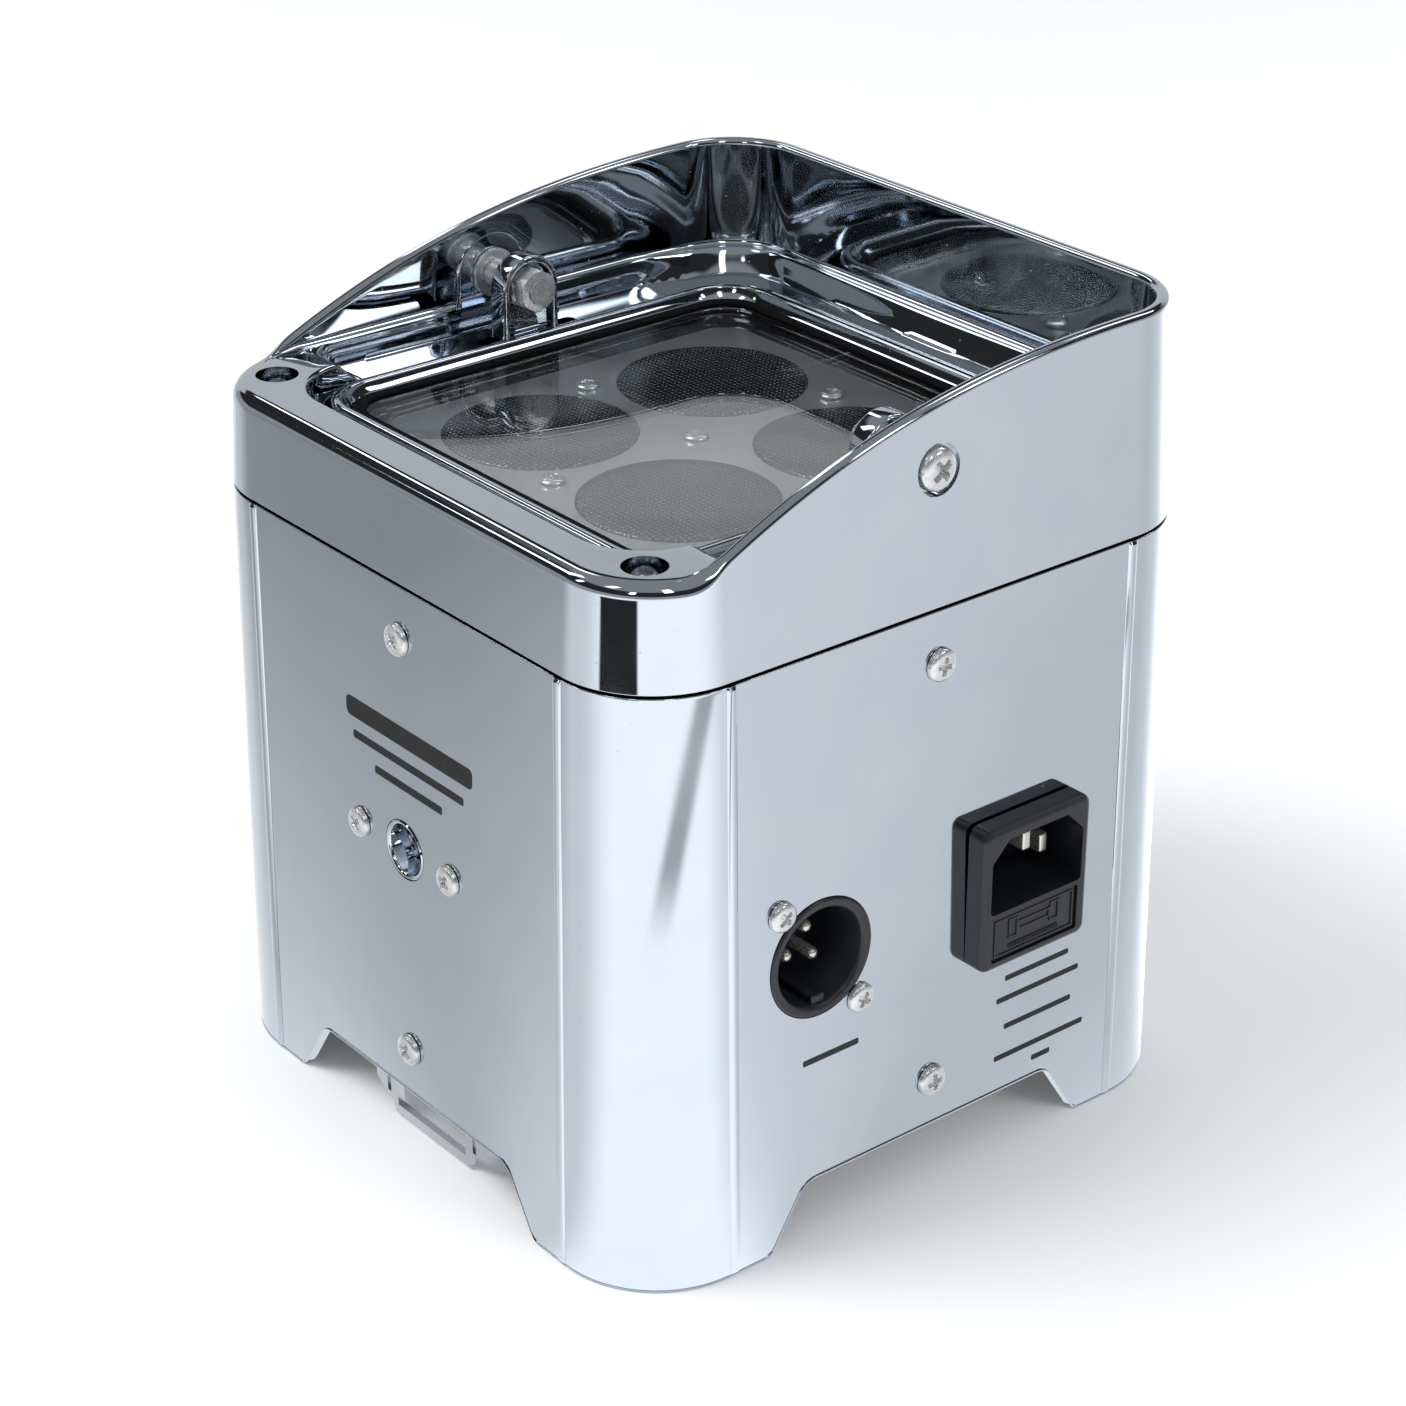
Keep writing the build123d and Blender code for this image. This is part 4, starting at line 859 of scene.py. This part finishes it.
def hexagon(flat):
    """Makes a turned profile six-sided: the radius is cut to flat / cos(angle to the nearest flat)."""
    def shape(r, z, a):
        nearest = (a + math.pi / 6) % (math.pi / 3) - math.pi / 6
        return np.minimum(r, flat / np.cos(nearest))
    return shape


nut_profile = [(2.45, 0.4), (2.7, 0.0), (3.75, 0.0), (4.1, 0.15), (4.62, 0.55), (4.62, 4.0)]
nut_profile += [(4.1, 4.5), (2.6, 4.7)]


nuts = many("pivot_hex_nuts", [
    seat(lathe(nut_profile, 96, hexagon(4.0)), on_side(inward(side), PIVOT_Y, PIVOT_Z, -53.85)) for side in sides
])
smooth(nuts, 28, weighted=False)
wear(nuts, zinc, "pivot_nuts")


def collar(side, x_in, x_out, r, bore, edge):
    """A washer or a sleeve: a rounded rectangle turned about the pivot."""
    w = x_out - x_in
    profile = [(bore, 0), (r - edge, 0), (r - 0.3 * edge, 0.3 * edge), (r, edge), (r, w - edge)]
    profile += [(r - 0.3 * edge, w - 0.3 * edge), (r - edge, w), (bore, w)]
    return seat(lathe(profile, 64), on_side(side, PIVOT_Y, PIVOT_Z, x_in))


washers = many("pivot_flat_washers", [
    collar(side, *size) for side in sides
    for size in ((LUG_OUT + 0.1, LUG_OUT + 1.3, 4.4, 2.55, 0.3), (PAD_X - 1.3, PAD_X, 5.0, 2.55, 0.35))
], True)
smooth(washers, 40, weighted=False)
wear(washers, zinc, "pivot_washers")
sleeves = many("pivot_spacers", [
    collar(side, LUG_OUT + 1.3, PAD_X - 1.3, 3.3, 2.55, 0.3) for side in sides
], True)
smooth(sleeves, 40, weighted=False)
wear(sleeves, zinc, "pivot_sleeves")

# ---------------------------------------------------------------- security anchor
# A plated zinc cup behind a hole in the front, with an upright bar across it for a safety cable's hook.
anchor_face = float(case_half(ANCHOR_Z))
lip = [(ANCHOR_R - 0.15, -1.0), (ANCHOR_R - 0.15, 0.0), (ANCHOR_R - 0.4, 0.2), (ANCHOR_R - 0.8, 0.1)]
lip += [(ANCHOR_R - 1.1, -0.4)]
bowl = [(ANCHOR_R - 1.1, -8.0), (ANCHOR_R - 1.6, -10.6), (3.0, -12.2), (0, -12.5)]
cup = woven("anchor_cup_lining", seat(lathe(lip + bowl, 72), on_side(FRONT, 0, ANCHOR_Z, anchor_face)), False)
into_bowl = sum(f.normal.y * (f.center.y + anchor_face * MM) for f in cup.data.polygons)
if into_bowl < 0:
    cup.data.flip_normals()
smooth(cup, 50, weighted=False)
wear(cup, chrome, "anchor_cup")
bar_line = [(0, -4.85), (1.1, -4.85), (1.3, -4.6), (1.3, 4.6), (1.1, 4.85), (0, 4.85)]
bar = woven("anchor_cross_bar", seat(lathe(bar_line, 40), upright(0, -anchor_face + 6.4, ANCHOR_Z)), False)
smooth(bar, 40, weighted=False)
wear(bar, chrome, "anchor_bar")

# ---------------------------------------------------------------- mains inlet
# A black moulded appliance inlet, with a bevelled recess, three flat blades and a fuse
# drawer below. It clips into the side of the body.
moulded, moulded_shader, place = material("black_pbt_moulding")
grain = noise(moulded, place, 0.6, 3.0)
scuff = noise(moulded, place, 7.0, 4.0)
ink = add(
    moulded, "Mix", {"data_type": "RGBA", "A": linear("#111319"), "B": linear("#1f222a")}, {"Factor": scuff}
)
set_shader(
    moulded_shader,
    {"Specular IOR Level": 0.45},
    {
        "Base Color": ink.outputs["Result"],
        "Roughness": remap(moulded, scuff, 0.3, 0.46),
        "Normal": bump(moulded, grain, 0.22, 0.05),
    },
    moulded,
)
INLET_OUT, DRAWER_AT = 4.6, -8.6
inlet_face = float(case_half(INLET_Z))
inlet_place = on_side(RIGHT, INLET_Y, INLET_Z, inlet_face + 0.3)
straight = np.linspace(0, 1, 6)


def block_rows(w, h, r, low, high, edge, turns=4):
    """Loops of a rounded block's side and of its rounded front edge."""
    def line(inset):
        half_w, low_y, high_y = w / 2 - inset, -h / 2 + inset, h / 2 - inset
        return square_loop(half_w, low_y, high_y, max(r - inset, 0.05), straight, straight, 8)

    rows = [placed(line(0), low, inlet_place)]
    for a in np.linspace(0, math.pi / 2, turns + 1):
        rows.append(placed(line(edge * (1 - math.cos(a))), high - edge * (1 - math.sin(a)), inlet_place))
    return rows


inlet_rows = block_rows(24.0, 26.8, 1.4, -19.0, 0.0, 0.1, 1)
inlet_rows += block_rows(27.6, 30.4, 2.2, 0.0, INLET_OUT, 1.3, 6)
speck_loop = square_loop(0.01, -0.01, 0.01, 0.005, straight, straight, 8)
middle_point = [placed(speck_loop, z, inlet_place) for z in (-19.0, INLET_OUT)]
inlet = woven("inlet_housing", np.stack(middle_point[:1] + inlet_rows + middle_point[1:]), False)
RECESS_W, RECESS_H, RECESS_AT, BEVEL = 23.6, 15.4, 4.9, 4.2
recess = np.array([
    [-RECESS_W / 2, -RECESS_H / 2], [RECESS_W / 2, -RECESS_H / 2],
    [RECESS_W / 2, RECESS_H / 2 - BEVEL], [RECESS_W / 2 - BEVEL, RECESS_H / 2],
    [-RECESS_W / 2 + BEVEL, RECESS_H / 2], [-RECESS_W / 2, RECESS_H / 2 - BEVEL],
])
soft = [rounded(recess[i - 1], recess[i], recess[(i + 1) % 6], 0.9, 5) for i in range(6)]
recess_place = on_side(RIGHT, INLET_Y, INLET_Z + RECESS_AT, inlet_face - 11)
drawer_place = on_side(RIGHT, INLET_Y, INLET_Z + DRAWER_AT, inlet_face - 6)
inlet = cut(inlet, [
    prism("hole", np.concatenate(soft), recess_place, 30),
    prism("hole", oblong(22.3, 9.6, 0.5), drawer_place, 30),
])
smooth(inlet, 30)
wear(inlet, moulded, "inlet_body")

# The drawer's face carries a raised outline of a fuse and a finger lip.
drawer_out = inlet_face + INLET_OUT - 0.15
drawer = plump(
    "drawer", lambda inset: oblong(22.0 - 2 * inset, 9.3 - 2 * inset, 0.5), (-7.0, 0.0),
    on_side(RIGHT, INLET_Y, INLET_Z + DRAWER_AT, drawer_out), 0.35,
)


def frame_strip(w, h, line_w, dx, dz):
    """A raised rectangular outline on the drawer's face."""
    square, middle = np.array([[-1, -1], [1, -1], [1, 1], [-1, 1]]), np.array([dx, dz])
    outer = square * np.array([w / 2, h / 2]) + middle
    inner = square * np.array([w / 2 - line_w, h / 2 - line_w]) + middle
    place = on_side(RIGHT, INLET_Y, INLET_Z + DRAWER_AT, drawer_out)
    lines = ((outer, -0.1), (outer, 0.22), (inner, 0.22), (inner, -0.1))
    return woven("strip", np.stack([placed(outline, depth, place) for outline, depth in lines]))


strips = [frame_strip(8.4, 2.0, 0.4, 0.0, 1.2)]
strips += [frame_strip(2.4, 4.2, 0.4, dx, 1.2) for dx in (-5.4, 5.4)]
strips += [frame_strip(20.6, 8.0, 0.35, 0.0, 0.0), frame_strip(13.0, 0.8, 0.4, 0.0, -2.6)]
drawer = smooth(join("fuse_drawer_front", [drawer] + strips), 30, weighted=False)
wear(drawer, moulded, "fuse_drawer", "fuse_carrier")

# Nickel-plated blades with rounded tips stand in the recess.
nickel, nickel_shader, place = material("nickel_plated_brass")
drawn = noise(nickel, place, 0.8, 3.0, (1.0, 5.0, 5.0))
set_shader(
    nickel_shader,
    {"Base Color": linear("#cfccc4"), "Metallic": 0.88},
    {"Roughness": remap(nickel, drawn, 0.2, 0.36), "Normal": bump(nickel, drawn, 0.08, 0.04)},
    nickel,
)
blades = join("inlet_blade_set", [
    plump("blade", lambda inset: oblong(2.0 - 2 * inset, 4.0 - 2 * inset, 0.3), (-14.0, tip),
          on_side(RIGHT, INLET_Y + dy, INLET_Z + RECESS_AT + dz, inlet_face), 0.5)
    for dy, dz, tip in ((-7.0, -0.6, -0.7), (0.0, 3.4, 1.8), (7.0, -0.6, -0.7))
])
smooth(blades, 40, weighted=False)
wear(blades, nickel, "inlet_blades")

# ---------------------------------------------------------------- round sockets
# Recessed three-pin chassis sockets behind round holes: pins on the right for the data input, and a
# contact carrier with three holes and a latch on the left for the output. Black nylon shells.
socket_face = float(case_half(SOCKET_Z))


def socket_shell(side, bore):
    profile = [(SOCKET_R - 0.15, -1.5), (SOCKET_R - 0.15, 0.1), (SOCKET_R - 0.5, 0.42), (SOCKET_R - 1.1, 0.42)]
    profile += [(bore + 0.5, 0.2), (bore, -0.4), (bore, -16.0), (bore - 0.4, -16.4), (0, -16.4)]
    return woven("shell", seat(lathe(profile, 96), on_side(side, SOCKET_Y, SOCKET_Z, socket_face)), False)


socket_key = plump(
    "key", lambda inset: oblong(3.2 - 2 * inset, 2.4 - 2 * inset, 0.4), (-14.0, -0.6),
    on_side(RIGHT, SOCKET_Y, SOCKET_Z - 9.4, socket_face), 0.4,
)
shell = smooth(join("input_socket_shell", [socket_shell(RIGHT, 9.9), socket_key]), 40, weighted=False)
wear(shell, moulded, "input_shell")
shell = smooth(join("output_socket_shell", [socket_shell(LEFT, 10.2)]), 40, weighted=False)
wear(shell, moulded, "output_shell")
pin_line = [(0, 0.0), (0.6, -0.12), (1.0, -0.5), (1.2, -1.1), (1.2, -14.0), (0, -14.0)]
pin_spots = [(3.8 * math.cos(a), 3.8 * math.sin(a)) for a in np.radians((75, 195, 315))]
pins = many("input_socket_pins", [
    seat(lathe(pin_line, 32), on_side(RIGHT, SOCKET_Y + dy, SOCKET_Z + dz, socket_face - 4.7))
    for dy, dz in pin_spots
])
smooth(pins, 50, weighted=False)
wear(pins, nickel, "input_pins")
carrier_line = [(0, 0.0), (7.2, 0.0), (7.7, -0.25), (7.8, -0.7), (7.8, -15.0)]
carrier_place = on_side(LEFT, SOCKET_Y, SOCKET_Z, socket_face - 0.9)
carrier = woven("output_socket_carrier", seat(lathe(carrier_line, 72), carrier_place), False)
carrier = cut(carrier, [
    prism("hole", circle(1.55, 32), on_side(LEFT, SOCKET_Y - dy, SOCKET_Z + dz, socket_face - 11), 20)
    for dy, dz in pin_spots
])
smooth(carrier, 40, weighted=False)
wear(carrier, moulded, "output_insert")

# ---------------------------------------------------------------- printed marks
# Plain black bars screen-printed on the plating where such a light carries its wording.
print_ink, ink_shader, place = material("black_screen_ink")
film = noise(print_ink, place, 1.4, 3.0)
set_shader(
    ink_shader, {"Base Color": linear("#0a0a0c")},
    {"Roughness": remap(print_ink, film, 0.55, 0.7), "Normal": bump(print_ink, film, 0.1, 0.02)}, print_ink,
)
bars = []
for side, across_mm, z, w, h in (
    (FRONT, 2.2, 91.6, 41.0, 4.2), (FRONT, 1.8, 86.0, 36.0, 1.7), (FRONT, 1.8, 81.2, 22.0, 1.7),
    (RIGHT, -25.4, 39.6, 13.6, 1.3), (RIGHT, 27.6, 38.5, 17.0, 1.2), (RIGHT, 28.0, 34.0, 22.0, 1.2),
    (RIGHT, 28.2, 27.6, 18.0, 1.2), (RIGHT, 28.8, 21.0, 24.0, 1.2), (RIGHT, 29.5, 17.4, 5.0, 1.2),
):
    bars.append(plump("bar", lambda inset: oblong(w - 2 * inset, h - 2 * inset, h * 0.3), (-0.05, 0.04),
                      on_side(side, across_mm, z, float(case_half(z))), 0.02, 1))
marks = smooth(join("printed_marks", bars))
wear(marks, print_ink, None)

# ---------------------------------------------------------------- parts kept from the frame
# Pieces whose shape is already right take the finish of what they are made of.
# Plated steel sheet: bright, with the streaks of rolling.
steel, steel_shader, place = material("plated_sheet_steel")
rolled = noise(steel, place, 1.2, 3.0, (1.0, 8.0, 1.0))
set_shader(
    steel_shader, {"Base Color": linear("#b9bcc0"), "Metallic": 1.0},
    {"Roughness": remap(steel, rolled, 0.18, 0.34), "Normal": bump(steel, rolled, 0.1, 0.04)}, steel,
)
# Black powder coat: a low sheen over a pebbled skin.
powder, powder_shader, place = material("black_powder_coat")
pebble = noise(powder, place, 0.8, 2.0)
set_shader(
    powder_shader, {"Base Color": linear("#17181a")},
    {"Roughness": remap(powder, pebble, 0.45, 0.65), "Normal": bump(powder, pebble, 0.35, 0.08)}, powder,
)
# Circuit board lacquer: dark green with slightly paler tracks.
laminate, laminate_shader, place = material("green_solder_mask")
mask_greens = {"Color1": linear("#12502c"), "Color2": linear("#1a6238"), "Mortar": linear("#0d3d22")}
traces = add(laminate, "TexBrick", {"Scale": 160.0, **mask_greens}, {"Vector": place})
set_shader(laminate_shader, {"Roughness": 0.35}, {"Base Color": traces.outputs["Color"]}, laminate)
# Emitter phosphor: flat yellow, a little uneven.
phosphor, phosphor_shader, place = material("yellow_led_phosphor")
dots = noise(phosphor, place, 0.6, 2.0)
warm = add(
    phosphor, "Mix", {"data_type": "RGBA", "A": linear("#c9b23e"), "B": linear("#e8dc9a")}, {"Factor": dots}
)
set_shader(phosphor_shader, {"Roughness": 0.4}, {"Base Color": warm.outputs["Result"]}, phosphor)
# Heat-shrunk blue wrap: smooth plastic with soft creases.
sleeve_blue, sleeve_shader, place = material("blue_heat_shrink")
crease = noise(sleeve_blue, place, 3.0, 4.0)
wrap_blues = {"data_type": "RGBA", "A": linear("#1d5fa0"), "B": linear("#2f78bd")}
blue = add(sleeve_blue, "Mix", wrap_blues, {"Factor": crease})
set_shader(
    sleeve_shader, {"Roughness": 0.3},
    {"Base Color": blue.outputs["Result"], "Normal": bump(sleeve_blue, crease, 0.2, 0.1)}, sleeve_blue,
)
# Bare extruded aluminium: grey metal with the streaks of the die.
extruded, extruded_shader, place = material("plain_extruded_aluminium")
drawn = noise(extruded, place, 1.0, 3.0, (6.0, 1.0, 6.0))
set_shader(
    extruded_shader, {"Base Color": linear("#b4b6b8"), "Metallic": 1.0},
    {"Roughness": remap(extruded, drawn, 0.3, 0.5), "Normal": bump(extruded, drawn, 0.1, 0.04)}, extruded,
)
# Smoked window: near black and very smooth.
tinted, tinted_shader, place = material("smoked_acrylic_window")
smear = noise(tinted, place, 12, 3.0)
set_shader(
    tinted_shader, {"Base Color": linear("#14171c"), "IOR": 1.49, "Coat Weight": 1.0, "Coat Roughness": 0.03},
    {"Roughness": remap(tinted, smear, 0.04, 0.12)}, tinted,
)
finish_of = {
    "bright_zinc": zinc, "steel_sheet": steel, "black_sheet": powder,
    "rubber_black": rubber, "inlet_plastic": moulded,
    "contact_metal": nickel, "fuse_glass": glass, "socket_shell": moulded, "socket_insert": moulded,
    "latch_metal": steel, "panel_plastic": moulded, "display_glass": tinted, "display_body": gloss,
    "key_plastic": rubber, "shade_plastic": gloss, "plate_metal": plate_finish, "board_laminate": laminate,
    "emitter_phosphor": phosphor, "sink_metal": extruded, "cell_wrap": sleeve_blue,
}
replaced = {
    "body_shell", "top_hood", "head_bezel", "head_glass", "glass_gasket", "shade_frame", "lenses", "plate_screws",
    "case_screws", "hood_screws", "anchor_screws", "input_screws", "output_screws", "pivot_bolts", "pivot_nuts",
    "pivot_washers", "pivot_sleeves", "anchor_cup", "anchor_bar", "inlet_body", "fuse_drawer", "inlet_blades",
    "input_shell", "output_shell", "input_pins", "output_insert",
}
for name, piece in cad.items():
    if name not in replaced:
        piece.data.materials.clear()
        piece.data.materials.append(finish_of[slot_of[name]])

# ---------------------------------------------------------------- stage
# A pale floor, soft light from above, and a painted studio that only the plating sees.
floor_mat, floor_shader, place = material("pale_floor")
set_shader(floor_shader, {"Base Color": linear("#f0f1f2"), "Roughness": 0.7})
floor = solid("floor", np.array([[-1, -1, 0], [1, -1, 0], [1, 1, 0], [-1, 1, 0]]) * 12000.0, [[0, 1, 2, 3]])
floor.data.materials.append(floor_mat)


def between(x, low, high, soft):
    """1 inside low..high, falling to 0 over soft on each side."""
    return ease((x - low) / soft + 0.5) * ease((high - x) / soft + 0.5)


def glow(name, points, faces, colours):
    """A surface that gives off its own colours, and is seen only in reflections."""
    mesh = bpy.data.meshes.new(name)
    mesh.from_pydata((points * MM).tolist(), [], faces.tolist())
    piece = bpy.data.objects.new(name, mesh)
    bpy.context.scene.collection.objects.link(piece)
    paint = piece.data.color_attributes.new("glow", "FLOAT_COLOR", "POINT")
    paint.data.foreach_set("color", np.concatenate([colours, np.ones((len(colours), 1))], -1).ravel())
    mat = bpy.data.materials.new(name)
    mat.use_nodes = True
    mat.node_tree.nodes.clear()
    colour = add(mat, "Attribute", {"attribute_name": "glow"}, {}).outputs["Color"]
    shine = add(mat, "Emission", {"Strength": 1.0}, {"Color": colour})
    end = add(mat, "OutputMaterial", {}, {"Surface": shine.outputs[0]})
    piece.data.materials.append(mat)
    piece.visible_camera = piece.visible_diffuse = piece.visible_shadow = False
    return piece


def polar_faces(rows, cols):
    i, j = np.meshgrid(np.arange(rows - 1), np.arange(cols), indexing="ij")
    j2 = (j + 1) % cols
    return np.stack([i * cols + j, i * cols + j2, (i + 1) * cols + j2, (i + 1) * cols + j], -1).reshape(-1, 4)


# The floor as the plating sees it, laid out round the front corner by bearing az and distance r: a grey
# floor, a wide and a narrow white soft box, two grey cards, one curved grey band and a black flag.
spread = np.concatenate([np.linspace(0.5, 300, 61), np.linspace(305, 600, 60), np.geomspace(620, 11000, 24)])
bearing = np.arange(-180, 180, 1.0)
r, az = np.meshgrid(spread, bearing, indexing="ij")
level = 1 + 0.6 * between(az, -95, 25, 40) + 0.9 * between(az, 85, 125, 20)
level = level - 0.4 * between(az, -160, -135, 25) - 0.15 * between(az, 50, 70, 15)
near_front = ease((-125 - az) / 14)
level = level + near_front * (0.2 - 0.4 * np.clip(r / 400, 0, 1))
petal = between(az - 0.4 * (r - 270), 0, 20, 10) * between(r, 170, 300, 45)
level = level * (1 - 0.6 * petal)
level = level * (1 - 0.98 * between(az, -91, -53, 1.2) * between(r, 312, 760, 6))
level = level * (1 - 0.3 * ease((r - 600) / 2000))
turn = np.radians(az)
points = np.stack([50 + r * np.cos(turn), -50 + r * np.sin(turn), 0.6 + 0 * r], -1).reshape(-1, 3)
tone = level.reshape(-1, 1) * np.array([0.99, 1.0, 1.02])
glow("floor_in_plating", points, polar_faces(*r.shape), tone)

# The room as the plating sees it: a pale band round the horizon, brighter behind the light, then dark
# above, with pairs of small bright lamps.
high = np.concatenate([np.arange(0, 40, 0.5), np.arange(40, 90.1, 2.0)])
el, az = np.meshgrid(high, np.arange(-180, 180, 1.0), indexing="ij")
level = 0.03 + 0.39 * (1 - ease((el - 13) / 3)) + 0.3 * ease((el - 40) / 6)
level = level + (0.68 - level) * between(az, 98, 184, 24) * (1 - ease((el - 25.5) / 2.0))
for lamp_az, lamp_el, half_w, half_h, power in (
    (-150, 42, 5, 9, 5), (-95, 55, 6, 6, 5), (-20, 48, 5, 10, 5), (28, 36, 3, 7, 6), (40, 36, 3, 7, 6),
    (88, 44, 4, 9, 6), (120, 58, 7, 5, 5), (-60, 34, 3, 6, 6), (160, 40, 3, 8, 5), (-125, 33, 2.5, 6, 6),
):
    turn = (az - lamp_az + 180) % 360 - 180
    across = between(turn, -half_w, half_w, 1.5)
    level = level + power * across * between(el, lamp_el - half_h, lamp_el + half_h, 1.5)
ROOM = 9000.0
flat = ROOM * np.cos(np.radians(el))
turn = np.radians(az)
points = np.stack([flat * np.cos(turn), flat * np.sin(turn), ROOM * np.sin(np.radians(el))], -1)
tone = level.reshape(-1, 1) * np.array([0.99, 1.0, 1.02])
glow("room_in_plating", points.reshape(-1, 3), polar_faces(*el.shape), tone)

world = bpy.data.worlds.new("studio")
bpy.context.scene.world = world
world.use_nodes = True
world.node_tree.nodes["Background"].inputs["Color"].default_value = linear("#f4f6f8")
world.node_tree.nodes["Background"].inputs["Strength"].default_value = 0.75


def lamp(name, at, size, power, toward=(0, 0, 80)):
    """A square soft lamp that faces a point; sizes in millimetres, power in watts."""
    light = bpy.data.lights.new(name, "AREA")
    light.size = size * MM
    light.energy = power
    shade = bpy.data.objects.new(name, light)
    bpy.context.scene.collection.objects.link(shade)
    shade.location = Vector(at) * MM
    shade.rotation_euler = (Vector(toward) - Vector(at)).to_track_quat("-Z", "Y").to_euler()
    shade.visible_glossy = False
    return shade


lamp("key_softbox", (-500, -900, 1500), 900, 22)
lamp("side_softbox", (1400, 300, 900), 700, 8)

camera_data = bpy.data.cameras.new("camera")
camera_data.lens, camera_data.sensor_width = 86.28, 36.0
camera = bpy.data.objects.new("camera", camera_data)
bpy.context.scene.collection.objects.link(camera)
right, up = Vector((0.6290, 0.7774, 0.0)), Vector((-0.3497, 0.2829, 0.8931))
back = Vector((0.6943, -0.5618, 0.4498))
view = Matrix((right, up, back)).transposed().to_4x4()
view.translation = Vector((467.8, -376.8, 378.8)) * MM
camera.matrix_world = view
bpy.context.scene.camera = camera
bpy.context.scene.view_settings.view_transform = "Standard"

bpy.context.view_layer.update()
